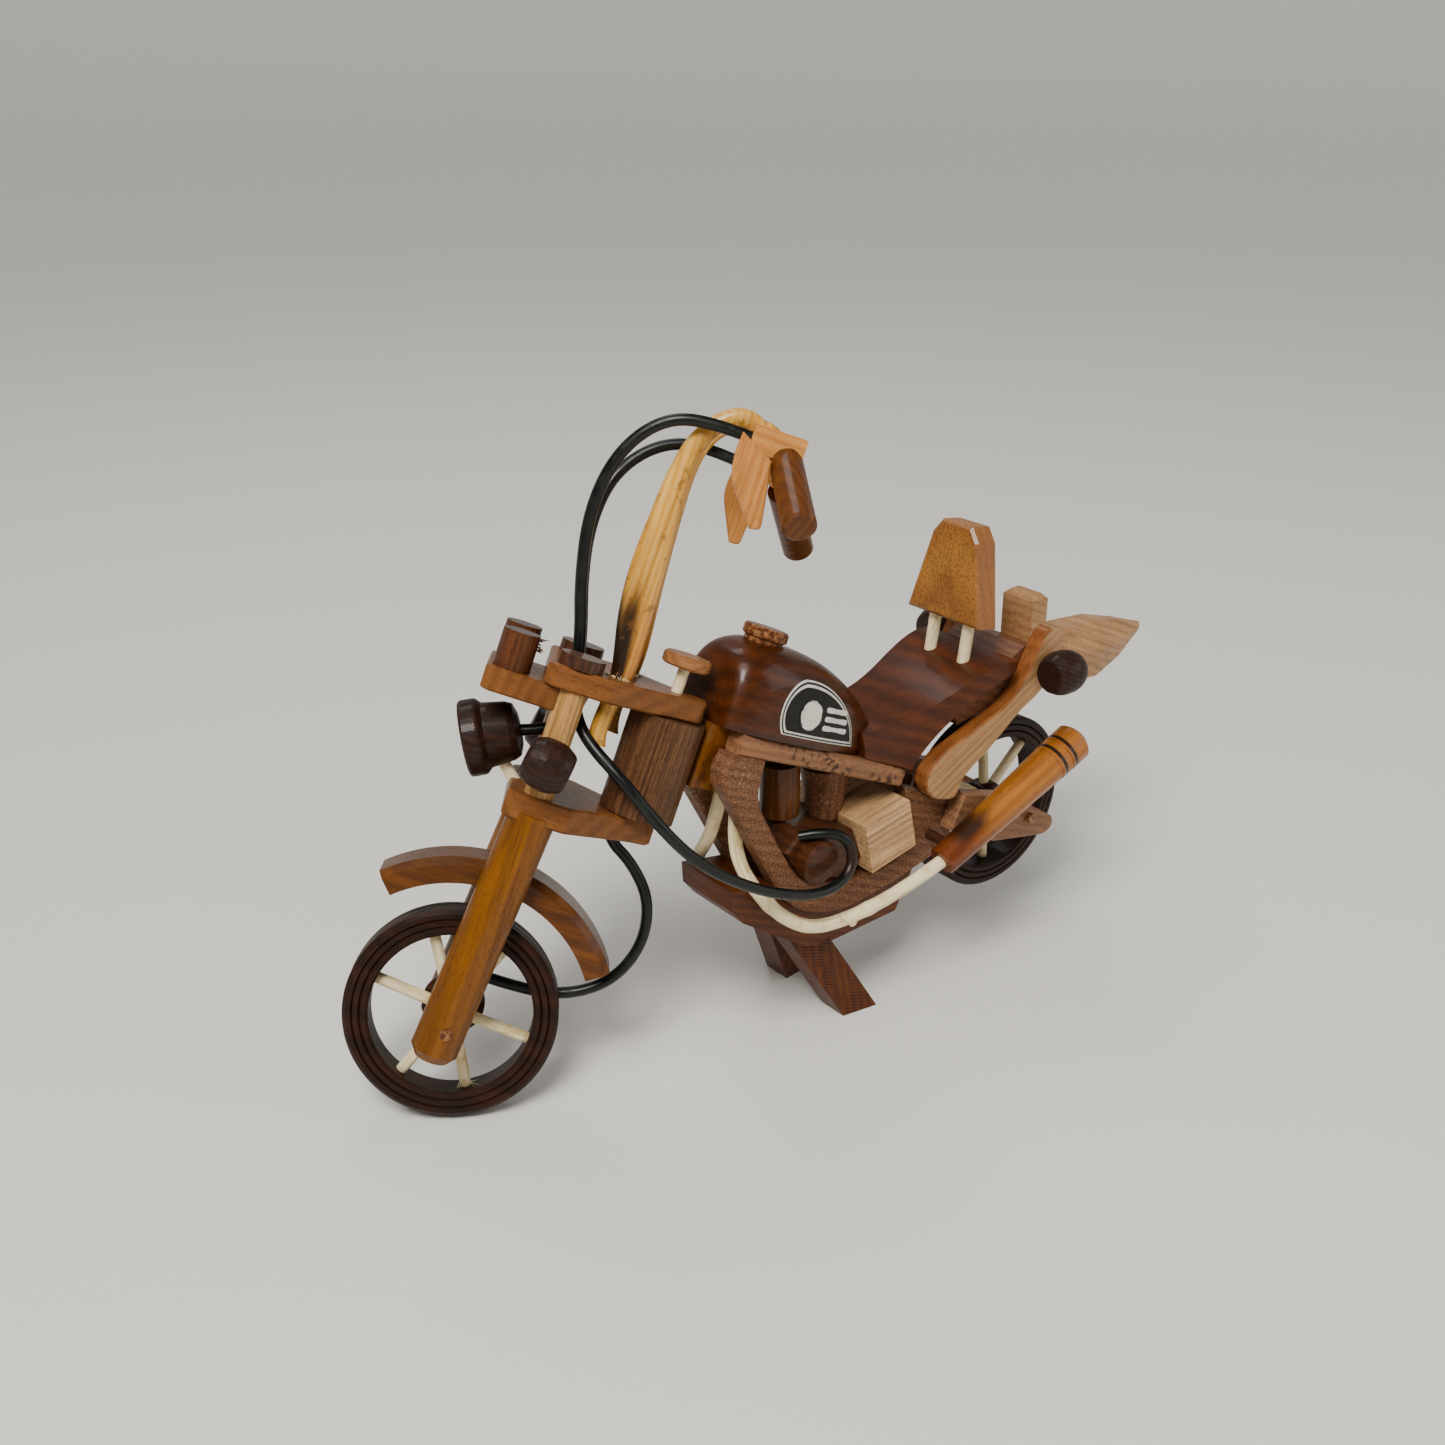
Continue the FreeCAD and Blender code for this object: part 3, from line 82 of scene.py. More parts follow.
class Shader:
    """A material under construction: add() makes a node, with numbers set and sockets linked."""

    def __init__(self, name):
        self.material = bpy.data.materials.new(name)
        self.material.use_nodes = True
        self.tree = self.material.node_tree
        self.tree.nodes.clear()
        self.surface = self.add("ShaderNodeBsdfPrincipled")
        output = self.tree.nodes.new("ShaderNodeOutputMaterial")
        self.tree.links.new(self.surface.outputs["BSDF"], output.inputs["Surface"])
        self.place = self.add("ShaderNodeTexCoord")

    def add(self, kind, inputs=None, **settings):
        made = self.tree.nodes.new(kind)
        for key, value in settings.items():
            setattr(made, key, value)
        self.set(made, inputs or {})
        return made

    def set(self, made, inputs):
        for key, value in inputs.items():
            socket = made.inputs[key]
            if isinstance(value, bpy.types.NodeSocket):
                self.tree.links.new(value, socket)
            else:
                socket.default_value = value

    def math(self, operation, a, b=0.0, c=0.0, clamp=False):
        made = self.add("ShaderNodeMath", {0: a, 1: b, 2: c}, operation=operation, use_clamp=clamp)
        return made.outputs[0]

    def vector(self, operation, a, b, output=0):
        made = self.add("ShaderNodeVectorMath", {0: a, 1: b}, operation=operation)
        return made.outputs[output]

    def noise(self, vector, detail=2.0, roughness=0.5, distortion=0.0, scale=1.0):
        made = self.add("ShaderNodeTexNoise", {"Vector": vector, "Scale": scale, "Detail": detail,
                                               "Roughness": roughness, "Distortion": distortion})
        return made.outputs["Fac"]

    def between(self, value, low, high):
        """A smooth step from 0 at low to 1 at high; low may be the larger of the two."""
        made = self.add("ShaderNodeMapRange", {"Value": value, "From Min": low, "From Max": high},
                        interpolation_type="SMOOTHSTEP")
        return made.outputs["Result"]

    def mix(self, share, a, b, mode="MIX"):
        made = self.add("ShaderNodeMix", data_type="RGBA", blend_type=mode, clamp_factor=True)
        for key, value in ((0, share), (6, a), (7, b)):
            self.set(made, {key: value})
        return made.outputs[2]

    def along(self, grain):
        """Object coordinates turned so that the grain runs along z, in metres."""
        turn = grain.rotation_difference(Z).to_euler()
        made = self.add("ShaderNodeMapping", {"Vector": self.place.outputs["Object"], "Rotation": turn})
        return made.outputs["Vector"]

    def distance_along(self, origin, way):
        """Metres from the origin along a direction, in the piece's own coordinates."""
        offset = self.vector("SUBTRACT", self.place.outputs["Object"], tuple(origin))
        return self.vector("DOT_PRODUCT", offset, tuple(way.normalized()), output=1)

    def facing(self, way, low, high):
        """1 where the surface faces the direction, in the piece's own coordinates."""
        dot = self.vector("DOT_PRODUCT", self.place.outputs["Normal"], tuple(way.normalized()), output=1)
        return self.between(dot, low, high)


class Look:
    """How one sort of wood looks: colours, how far apart its growth bands are, its pores and its varnish."""

    def __init__(self, light, mid, dark, band=2.4, pores=0.5, blotch=0.3, rough=0.42, coat=0.55, bump=0.35,
                 streaks=0.45, wave=5.0):
        self.light, self.mid, self.dark = linear(light), linear(mid), linear(dark)
        self.band, self.pores, self.blotch = band, pores, blotch
        self.rough, self.coat, self.bump = rough, coat, bump
        self.streaks, self.wave = streaks, wave


LOOKS = {
    "amber": Look("8c5408", "6a3c05", "341803", band=3.4, pores=0.7, coat=0.25, rough=0.40),
    "guard": Look("733f06", "4c2703", "240f02", band=3.0, pores=0.3, coat=0.3, rough=0.34, blotch=0.45),
    "board": Look("86583a", "5f3a23", "2c160c", band=2.6, pores=0.7, coat=0.1, rough=0.55, bump=0.5,
                  streaks=0.3, blotch=0.35),
    "rail": Look("a3744e", "7d5336", "3c2114", band=2.6, pores=0.6, coat=0.25, rough=0.5, streaks=0.3),
    "yoke": Look("8a5524", "6c3f18", "351b0a", band=3.2, pores=0.8, coat=0.25, rough=0.42, streaks=0.25),
    "gauge": Look("6e3c1c", "48260f", "1c0d05", band=1.4, pores=0.9, coat=0.25, rough=0.42, bump=0.7),
    "bark": Look("5e3620", "3a2013", "140906", band=1.6, pores=0.9, coat=0.35, rough=0.45, bump=0.8),
    "knob": Look("aa7648", "86552c", "502c14", band=1.8, pores=0.6, coat=0.2, rough=0.48),
    "strut": Look("c29668", "9f734a", "603e24", band=2.4, pores=0.6, coat=0.25, rough=0.42, streaks=0.45),
    "muffler": Look("b5742e", "905419", "4a2409", band=3.2, pores=0.5, coat=0.4, rough=0.3, streaks=0.3),
    "stand": Look("6c3609", "482004", "1f0c02", band=2.6, pores=0.6, coat=0.2, rough=0.4, streaks=0.35),
    "cylinder": Look("7a5232", "523219", "24120a", band=0.9, pores=0.9, coat=0.25, rough=0.5, bump=0.9,
                     streaks=0.7, wave=2.0),
    "box": Look("dcb88c", "bd9264", "6c4828", band=1.8, pores=0.7, coat=0.25, rough=0.48,
                streaks=0.6, wave=5.0),
    "engine": Look("5c3216", "3c1e0c", "170903", band=2.4, pores=0.6, coat=0.3, rough=0.36),
    "tank": Look("5c2a08", "3a1903", "170701", band=4.2, pores=0.25, coat=0.3, rough=0.24,
                 blotch=0.35, wave=9.0),
    "seat": Look("662f0b", "3e1a04", "1b0902", band=4.6, pores=0.25, coat=0.18, rough=0.34,
                 blotch=0.4, wave=9.0),
    "backrest": Look("b57a2c", "8e581a", "48290e", band=3.0, pores=0.9, coat=0.35, rough=0.42, blotch=0.3,
                     streaks=0.2),
    "lever": Look("dc9c54", "bd7a36", "86491a", band=1.6, pores=0.5, coat=0.2, rough=0.5, streaks=0.55),
    "grip": Look("73400f", "50290a", "281104", band=2.0, pores=0.8, coat=0.3, rough=0.5, streaks=0.3),
    "rim": Look("391a0a", "1d0d05", "070301", band=4.5, pores=0.7, coat=0.08, rough=0.46, blotch=0.6,
                streaks=0.3),
    "lamp": Look("3c2012", "20100a", "0a0402", band=1.4, pores=0.7, coat=0.15, rough=0.45, bump=0.6),
    "hub": Look("4c2814", "2f160b", "120704", band=2.0, pores=0.6, coat=0.15, rough=0.4),
    "stanchion": Look("d2a264", "a8793c", "6f4720", band=1.6, pores=0.6, coat=0.5, rough=0.36, streaks=0.6),
    "cane": Look("fff2cc", "f2deac", "b0945a", band=0.5, pores=0.4, coat=0.3, rough=0.42,
                 streaks=0.6, wave=1.0),
    "bar": Look("f2c268", "d2922a", "7a420c", band=1.5, pores=0.35, coat=0.6, rough=0.26,
                streaks=0.45, wave=2.5),
}

BAND_UNIT = 0.314                     # a band texture repeats every 0.314 / scale
BAND_LENGTH = 11.0                    # growth bands are this many times as long as they are wide
PORE_WIDTH, PORE_LENGTH = 0.00022, 0.0016
FIBRE_WIDTH, FIBRE_LENGTH = 0.00012, 0.009
STREAK_WIDTH, STREAK_LENGTH = 0.0011, 0.030
BLOTCH_WIDTH, BLOTCH_LENGTH = 0.007, 0.018
BAND_SHARE, FIBRE_SHARE, PORE_SHARE = 0.5, 0.35, 0.75
BLOTCH_SHARE = 1.2                    # how far blotches lighten and darken the wood
GRAIN_RELIEF = 0.00012                # metres
PORE_DULLNESS, BLOTCH_DULLNESS = 0.22, 0.16
VARNISH = {"Coat Roughness": 0.12, "Coat IOR": 1.5, "Specular IOR Level": 0.16}


def stretched(shader, vector, width, length):
    """The vector scaled so that a noise of scale 1 has cells of that width across and length along z."""
    return shader.vector("MULTIPLY", vector, (1 / width, 1 / width, 1 / length))


def wood(look, vector, shader, layers=()):
    """Fills the shader in as varnished wood, grain along the vector's z. Layers change the colour last."""
    bands = shader.add("ShaderNodeTexWave", {
        "Vector": stretched(shader, vector, look.band * 0.001, look.band * 0.001 * BAND_LENGTH),
        "Scale": BAND_UNIT,
        "Distortion": look.wave, "Detail": 2.0, "Detail Scale": 0.55}).outputs["Fac"]
    streak = shader.noise(stretched(shader, vector, STREAK_WIDTH, STREAK_LENGTH), detail=3.0, distortion=0.3)
    fibre = shader.noise(stretched(shader, vector, FIBRE_WIDTH, FIBRE_LENGTH), detail=1.0)
    pore = shader.between(shader.noise(stretched(shader, vector, PORE_WIDTH, PORE_LENGTH), detail=1.0),
                          0.60, 0.68)
    blotch = shader.noise(stretched(shader, vector, BLOTCH_WIDTH, BLOTCH_LENGTH), detail=3.0)
    colour = shader.mix(shader.math("MULTIPLY", bands, BAND_SHARE), look.mid, look.light)
    streak_share = shader.math("MULTIPLY", shader.between(streak, 0.42, 0.72), look.streaks)
    colour = shader.mix(streak_share, colour, look.dark)
    fibre_share = shader.math("MULTIPLY", shader.between(fibre, 0.45, 0.75), FIBRE_SHARE)
    colour = shader.mix(fibre_share, colour, look.light)
    colour = shader.mix(shader.math("MULTIPLY", pore, look.pores * PORE_SHARE), colour, look.dark)
    contrast = look.blotch * BLOTCH_SHARE
    shade = shader.math("MULTIPLY_ADD", blotch, 2 * contrast, 1.0 - contrast)
    tone = shader.add("ShaderNodeCombineColor", {0: shade, 1: shade, 2: shade}).outputs[0]
    colour = shader.mix(1.0, colour, tone, mode="MULTIPLY")
    for layer in layers:
        colour = layer(shader, colour)
    height = shader.math("MULTIPLY_ADD", pore, -0.8, fibre)
    height = shader.math("MULTIPLY_ADD", streak, 0.8, height)
    bump = shader.add("ShaderNodeBump", {"Height": height, "Strength": look.bump, "Distance": GRAIN_RELIEF})
    rough = shader.math("MULTIPLY_ADD", pore, PORE_DULLNESS, look.rough)
    rough = shader.math("MULTIPLY_ADD", blotch, BLOTCH_DULLNESS, rough)
    shader.set(shader.surface, {"Base Color": colour, "Roughness": rough, "Normal": bump.outputs["Normal"],
                                "Coat Weight": look.coat, **VARNISH})
    return shader.material


def blend_to(code, share):
    """A layer that lays a colour over the wood; share(shader) says how much of it shows where."""
    colour = linear(code)
    return lambda shader, under: shader.mix(share(shader), under, colour)


def darkened(code, share):
    """A layer that stains the wood, so that its grain still shows through."""
    colour = linear(code)
    return lambda shader, under: shader.mix(share(shader), under, colour, mode="MULTIPLY")


def faces(way, low=0.80, high=0.93, strength=1.0):
    """The surface that faces a direction."""
    return lambda shader: shader.math("MULTIPLY", shader.facing(way, low, high), strength)


def past(origin, way, start, end, strength=1.0, ragged=0.0, cell=0.002):
    """How far along a direction a point is, from 0 at start to strength at end, with a ragged edge."""
    def share(shader):
        reach = shader.distance_along(origin, way)
        if ragged:
            streaky = (1 / cell, 1 / cell, 0.18 / cell)
            wander = shader.noise(shader.vector("MULTIPLY", shader.along(way), streaky))
            wander = shader.math("MULTIPLY_ADD", wander, 2 * ragged, -ragged)
            reach = shader.math("ADD", reach, wander)
        return shader.math("MULTIPLY", shader.between(reach, start, end), strength)
    return share


def ring(origin, way, centre, half, strength=0.8):
    """A scorched ring round a turned piece, a distance along its axis."""
    def share(shader):
        reach = shader.distance_along(origin, way)
        off = shader.math("ABSOLUTE", shader.math("SUBTRACT", reach, centre))
        return shader.math("MULTIPLY", shader.between(off, half * 1.7, half * 0.6), strength)
    return share


def stripes(way, pitch, strength):
    """Even marks across a direction, such as a saw leaves."""
    def share(shader):
        turns = shader.math("MULTIPLY", shader.distance_along((0, 0, 0), way), math.tau / pitch)
        return shader.math("MULTIPLY", shader.between(shader.math("SINE", turns), 0.1, 0.9), strength)
    return share


def spots(cell, low, high, strength):
    """Scattered marks about a cell across."""
    def share(shader):
        vector = shader.vector("MULTIPLY", shader.place.outputs["Object"], (1 / cell, 1 / cell, 1 / cell))
        return shader.math("MULTIPLY", shader.between(shader.noise(vector, detail=4.0), low, high), strength)
    return share


def all_of(*shares):
    """The product of several shares."""
    def share(shader):
        total = shares[0](shader)
        for other in shares[1:]:
            total = shader.math("MULTIPLY", total, other(shader))
        return total
    return share


EX, EZ = direction(HEAD, 1, 0, 0), direction(HEAD, 0, 0, 1)
FX, FY, FZ = direction(FORK, 1, 0, 0), direction(FORK, 0, 1, 0), direction(FORK, 0, 0, 1)
MUFFLER_WAY = direction(HEAD, 38.5, 0, 42.1)
MUFFLER_START = HEAD @ Vector((0.0914, 0, 0.006))
BAR_FOOT = FORK @ Vector((-0.0153, 0, 0.0300))
BURN_SIDE = (Z - X).normalized()
BOX_GRAIN = Vector((0.985, 0, 0.174))
STRUT_GRAIN = direction(HEAD, 0.62, 0, 0.78)

FROST = blend_to("b08a6c", spots(0.0005, 0.50, 0.66, 0.42))
RUBBED = blend_to("c9b49c", all_of(spots(0.0009, 0.56, 0.66, 0.5), spots(0.010, 0.52, 0.66, 1.0)))
# the peg that holds each muffler: it lies between these two planes across the frame
HIDDEN_PEG = all_of(past(HEAD @ Vector((0.088, 0, 0)), EX, 0.0, 0.001, 1.0),
                    past(HEAD @ Vector((0.104, 0, 0)), EX, 0.0, -0.001, 1.0))
SAW_MARKS = Vector((0.25, 0.1, 0.96))

# each handlebar: browned and scorched above the yoke on the side ahead, with a few brown marks all over
FRONT_OF_BAR = direction(FORK, -1, -0.5, 0)
ABOVE_YOKE = past(BAR_FOOT, FZ, -0.0012, 0.0002, 1.0)
BROWNED = all_of(past(BAR_FOOT, FZ, 0.034, 0.006, 0.5, ragged=0.010), ABOVE_YOKE)
SCORCHED = all_of(past(BAR_FOOT, FZ, 0.032, 0.014, 0.97, ragged=0.008),
                  faces(FRONT_OF_BAR, 0.15, 0.55), ABOVE_YOKE)
CHARRED_FOOT = all_of(past(BAR_FOOT, FZ, 0.0035, 0.0005, 0.8, ragged=0.003), ABOVE_YOKE)
BAR_LAYERS = [darkened("b4742e", BROWNED), blend_to("0e0704", SCORCHED), blend_to("1c0f08", CHARRED_FOOT),
              blend_to("6a4018", spots(0.0030, 0.60, 0.68, 0.55))]

# node: look, grain direction, layers
WOODEN = {
    "side_plate_left": ("board", EX, [FROST, RUBBED]),
    "side_plate_right": ("board", EX, [FROST, RUBBED]),
    "upper_rails": ("rail", EX, [darkened("4a2618", all_of(spots(0.0016, 0.48, 0.60, 0.8),
                                                          spots(0.012, 0.42, 0.56, 1.0)))]),
    "tail_board": ("board", EX, []),
    "frame_nose": ("amber", EZ, [darkened("8a4a1c", spots(0.006, 0.45, 0.65, 0.7))]),
    "mufflers": ("muffler", MUFFLER_WAY, [
        darkened("8a4414", past(MUFFLER_START, MUFFLER_WAY, 0.024, 0.004, 0.8, ragged=0.004)),
        blend_to("1a0a04", all_of(past(MUFFLER_START, MUFFLER_WAY, 0.021, 0.013, 1.0, ragged=0.004),
                                  past(MUFFLER_START, MUFFLER_WAY, 0.003, 0.009, 1.0),
                                  faces(BURN_SIDE, 0.35, 0.8, 0.9))),
        blend_to("140703", ring(MUFFLER_START, MUFFLER_WAY, 0.0470, 0.0005, 0.97)),
        blend_to("140703", ring(MUFFLER_START, MUFFLER_WAY, 0.0512, 0.0005, 0.97))]),
    "stand_base": ("stand", EX, []),
    "stand_legs": ("stand", Z, [darkened("7a5236", all_of(stripes(SAW_MARKS, 0.0009, 0.9),
                                                          spots(0.006, 0.45, 0.60, 1.0)))]),
    "front_cylinder": ("grip", Z, []),
    "rear_cylinder": ("board", Z, [FROST]),
    "backrest": ("backrest", Z, [darkened("a06a3a", spots(0.0007, 0.50, 0.60, 0.5)),
                                 blend_to("86583c", faces(Y, 0.45, 0.75, 0.55)),
                                 blend_to("86583c", faces(-Y, 0.45, 0.75, 0.55))]),
    "head_block": ("cylinder", EZ, []),
    "air_box": ("box", BOX_GRAIN, []),
    "oil_tank": ("box", BOX_GRAIN, []),
    "tank": ("tank", EX, []),
    "seat": ("seat", EX, []),
    "crankcase": ("engine", EX, []),
    "clutch_cover": ("engine", EX, []),
    "struts": ("strut", STRUT_GRAIN, [darkened("c09058", faces(-EX, 0.2, 0.6, 0.9)),
                                     darkened("c09058", faces(EX, 0.2, 0.6, 0.9))]),
    "tail_block": ("strut", EX, []),
    "tail_tip": ("strut", EX, []),
    "swing_arms": ("rail", EX, [FROST]),
    "tank_cap": ("knob", EZ, [darkened("8a5230", spots(0.0012, 0.40, 0.60, 0.9))]),
    "rear_signals": ("lamp", EX, []),
    "backrest_pegs": ("cane", EZ, []),
    "frame_pegs": ("cane", Y, [blend_to("3c2114", HIDDEN_PEG)]),
    "rear_axle": ("strut", Y, [darkened("a8794c", spots(0.0010, 0.40, 0.60, 0.9))]),
    "upper_yoke": ("yoke", FX, []),
    "lower_yoke": ("yoke", FX, []),
    "gauge_plate": ("yoke", FY, []),
    "gauges": ("gauge", FZ, [blend_to("4c423b", faces(FZ, 0.86, 0.95, 0.85))]),
    "fork_caps": ("bark", FZ, [blend_to("5d4436", faces(FZ, 0.86, 0.95, 0.7))]),
    "steering_knob": ("knob", FX, []),
    "steering_pin": ("cane", FZ, []),
    "stanchions": ("stanchion", FZ, []),
    "fork_legs": ("amber", FZ, []),
    "front_mudguard": ("guard", FX, []),
    "headlamp": ("lamp", FX, []),
    "fork_pegs": ("cane", FY, []),
    "front_signals": ("lamp", FX, []),
    "handlebar_left": ("bar", FZ, BAR_LAYERS),
    "handlebar_right": ("bar", FZ, BAR_LAYERS),
    "brackets": ("lever", FX, []),
    "levers": ("lever", FZ, []),
    "grips": ("grip", FZ, []),
    "front_axle": ("knob", FY, [darkened("8a5c38", spots(0.0008, 0.40, 0.60, 0.9))]),
    "front_rim": ("rim", FX, []),
    "front_hub": ("hub", FY, []),
    "brake_disc": ("hub", FX, []),
    "rear_rim": ("rim", X, []),
    "rear_hub": ("hub", Y, []),
    "front_spokes": ("cane", FZ, []),
    "rear_spokes": ("cane", Z, []),
    "exhaust_pipes": ("cane", EX, []),
}


def dress(obj, material):
    """Gives every material slot of the object this material."""
    if not obj.material_slots:
        obj.data.materials.append(material)
    for holder in obj.material_slots:
        holder.material = material


for node_name, (look_name, grain, layers) in WOODEN.items():
    shader = Shader(node_name + "_wood")
    dress(nodes[node_name], wood(LOOKS[look_name], shader.along(grain), shader, layers))


def cord_material(name, layers=()):
    """Black vinyl with a faint green cast and dull rubbed patches."""
    shader = Shader(name)
    here = shader.place.outputs["Object"]
    patch = shader.noise(shader.vector("MULTIPLY", here, (220, 220, 220)), detail=3.0)
    grit = shader.noise(shader.vector("MULTIPLY", here, (2600, 2600, 2600)), detail=2.0)
    colour = shader.mix(shader.between(patch, 0.4, 0.7), linear("060807"), linear("11160f"))
    for layer in layers:
        colour = layer(shader, colour)
    rough = shader.math("MULTIPLY_ADD", shader.between(patch, 0.45, 0.7), 0.2, 0.32)
    bump = shader.add("ShaderNodeBump", {"Height": grit, "Strength": 0.25, "Distance": 0.00008})
    shader.set(shader.surface, {"Base Color": colour, "Roughness": rough, "Normal": bump.outputs["Normal"],
                                "Coat Weight": 0.08, "Coat Roughness": 0.25, "Specular IOR Level": 0.3})
    return shader.material


vinyl = cord_material("black_vinyl_cord")

# ---- cables: the routes' own points in metres, forward, left and up of the steering axis in FORK
CABLE_RADIUS = 0.0015
FORK_ROUTES = {
    "control_cable_left": [(.0246, .0036, .0274), (.0264, .0044, .0370), (.0314, .0064, .0520),
                           (.0346, .0086, .0690), (.0324, .0106, .0840), (.0246, .0122, .0946),
                           (.0138, .0128, .0974), (.0024, .0128, .0968)],
    "control_cable_right": [(.0242, -.0036, .0274), (.0260, -.0044, .0370), (.0308, -.0066, .0520),
                            (.0330, -.0092, .0660), (.0310, -.0114, .0790), (.0228, -.0128, .0890),
                            (.0116, -.0129, .0924), (-.0026, -.0128, .0906)],
    "brake_cable": [(.0076, -.0072, -.0014), (.0046, -.0076, -.0094), (-.0042, -.0080, -.0142),
                    (-.0116, -.0082, -.0226), (-.0136, -.0084, -.0346), (-.0090, -.0086, -.0462),
                    (.0012, -.0088, -.0532), (.0140, -.0088, -.0550), (.0256, -.0090, -.0544)],
    "lamp_wire": [(.0214, -.0020, .0263), (.0220, -.0010, .0202), (.0266, .0000, .0136),
                  (.0360, .0000, .0109)],
}
# the clutch cable's points are in HEAD
CLUTCH_ROUTE = [(-.0221, .0109, .0261), (-.0218, .0092, .0216), (-.0206, .0024, .0158),
                (-.0146, -.0084, .0100), (-.0050, -.0156, .0020), (.0076, -.0188, -.0048),
                (.0226, -.0208, -.0084), (.0376, -.0218, -.0096), (.0514, -.0218, -.0084),
                (.0608, -.0208, -.0026), (.0604, -.0188, .0054), (.0534, -.0164, .0082),
                (.0474, -.0110, .0036)]


def route_curve(name, place, route, radius):
    """A cord as a NURBS line through the route's points, in metres."""
    data = bpy.data.curves.new(name, "CURVE")
    data.dimensions = "3D"
    spline = data.splines.new("NURBS")
    spline.points.add(len(route) - 1)
    for control, point in zip(spline.points, route):
        control.co = (*(place @ Vector(point)), 1.0)
    spline.order_u = 3
    spline.use_endpoint_u = True
    data.resolution_u = 10
    data.bevel_depth = radius
    data.bevel_resolution = 5
    data.use_fill_caps = True
    made = bpy.data.objects.new(name, data)
    bpy.context.scene.collection.objects.link(made)
    return made


for node_name, route in FORK_ROUTES.items():
    cable = route_curve(node_name + "_vinyl", FORK, [(-f, -left, up) for f, left, up in route], CABLE_RADIUS)
    cable.data.materials.append(vinyl)
    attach(cable, "fork")
    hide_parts(node_name)


def shape_of(curve_object):
    """The mesh that a curve makes; the curve itself is removed."""
    bpy.context.view_layer.update()
    shaped = curve_object.evaluated_get(bpy.context.evaluated_depsgraph_get())
    mesh = bpy.data.meshes.new_from_object(shaped)
    bpy.data.objects.remove(curve_object)
    return mesh


def finished(build, name):
    """The mesh of a finished bmesh."""
    mesh = bpy.data.meshes.new(name)
    build.to_mesh(mesh)
    build.free()
    return mesh


def add_mesh(name, mesh, body=None):
    """A mesh object, riding on a body where one is given."""
    made = bpy.data.objects.new(name, mesh)
    bpy.context.scene.collection.objects.link(made)
    if body:
        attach(made, body)
    return made


clutch_mesh = shape_of(route_curve("clutch_line", HEAD, CLUTCH_ROUTE, CABLE_RADIUS))
clutch_cable = add_mesh("clutch_cable_vinyl", clutch_mesh)
# the fold at the cable's rear end is browned
heel = past(HEAD @ Vector((0.0575, 0, 0)), EX, 0.0, 0.002, 0.85, ragged=0.002)
dress(clutch_cable, cord_material("black_vinyl_cord_creased", [blend_to("2a150c", heel)]))
for polygon in clutch_mesh.polygons:
    polygon.use_smooth = True
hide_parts("clutch_cable")
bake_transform(clutch_cable)

# ---- the label on each side of the tank: pale, with a dark line inside its edge and a dark field that
# carries a pale disc and three pale stripes; millimetres along and up in the HEAD plane
LABEL_LOW, LABEL_REAR, LABEL_TOP, LABEL_NOSE = (24.5, 30.4), (53.5, 30.4), (29.0, 45.0), (22.6, 38.0)
LABEL_SHOULDER = (47.5, 39.0)
EDGE_LINE_OUTER, EDGE_LINE_INNER, FIELD_INSET = 0.45, 0.95, 1.7
DISC_MIDDLE, DISC_RADIUS = (32.6, 36.6), 3.9
DISC_EDGE_OUTER, DISC_EDGE_INNER = 4.3, 3.7
STRIPES = ((38.6, 46.4, 38.9), (38.6, 47.0, 36.5), (38.6, 47.6, 34.1))   # from x, to x, at z
STRIPE_HALF = 0.7
PRINT_LIFT, PAPER_LIFT, PRINT_THICKNESS = 0.00005, 0.00012, 0.00004      # metres


def arc_points(first, through, last, count):
    """Points of the arc from first to last by way of through, in a plane, without the last point."""
    (ax, ay), (bx, by), (cx, cy) = first, through, last
    turn = 2 * (ax * (by - cy) + bx * (cy - ay) + cx * (ay - by))
    square = [x * x + y * y for x, y in (first, through, last)]
    ux = (square[0] * (by - cy) + square[1] * (cy - ay) + square[2] * (ay - by)) / turn
    uy = (square[0] * (cx - bx) + square[1] * (ax - cx) + square[2] * (bx - ax)) / turn
    radius = math.hypot(ax - ux, ay - uy)
    angles = [math.atan2(y - uy, x - ux) for x, y in (first, through, last)]
    sweep = (angles[2] - angles[0]) % math.tau
    if (angles[1] - angles[0]) % math.tau > sweep:
        sweep -= math.tau
    steps = [angles[0] + sweep * k / count for k in range(count)]
    return [(ux + radius * math.cos(a), uy + radius * math.sin(a)) for a in steps]


def label_loop(inset, count=26):
    """The label's outline drawn in by an inset, in millimetres of the HEAD plane."""
    loop = arc_points(LABEL_REAR, LABEL_SHOULDER, LABEL_TOP, count)
    loop += arc_points(LABEL_TOP, LABEL_NOSE, LABEL_LOW, count)
    loop += [(LABEL_LOW[0] + (LABEL_REAR[0] - LABEL_LOW[0]) * k / count, LABEL_LOW[1]) for k in range(count)]
    centre_x = sum(x for x, _ in loop) / len(loop)
    centre_z = sum(z for _, z in loop) / len(loop)
    reach_x = max(x for x, _ in loop) - centre_x
    reach_z = max(z for _, z in loop) - centre_z
    shrink_x, shrink_z = 1 - inset / reach_x, 1 - inset / reach_z
    return [(centre_x + (x - centre_x) * shrink_x, centre_z + (z - centre_z) * shrink_z) for x, z in loop]


def tree_of(*names):
    """A search tree over the surface of some CAD nodes."""
    points, polygons = [], []
    for name in names:
        mesh = nodes[name].data
        base = len(points)
        points += [v.co.copy() for v in mesh.vertices]
        polygons += [[base + i for i in p.vertices] for p in mesh.polygons]
    return BVHTree.FromPolygons(points, polygons)


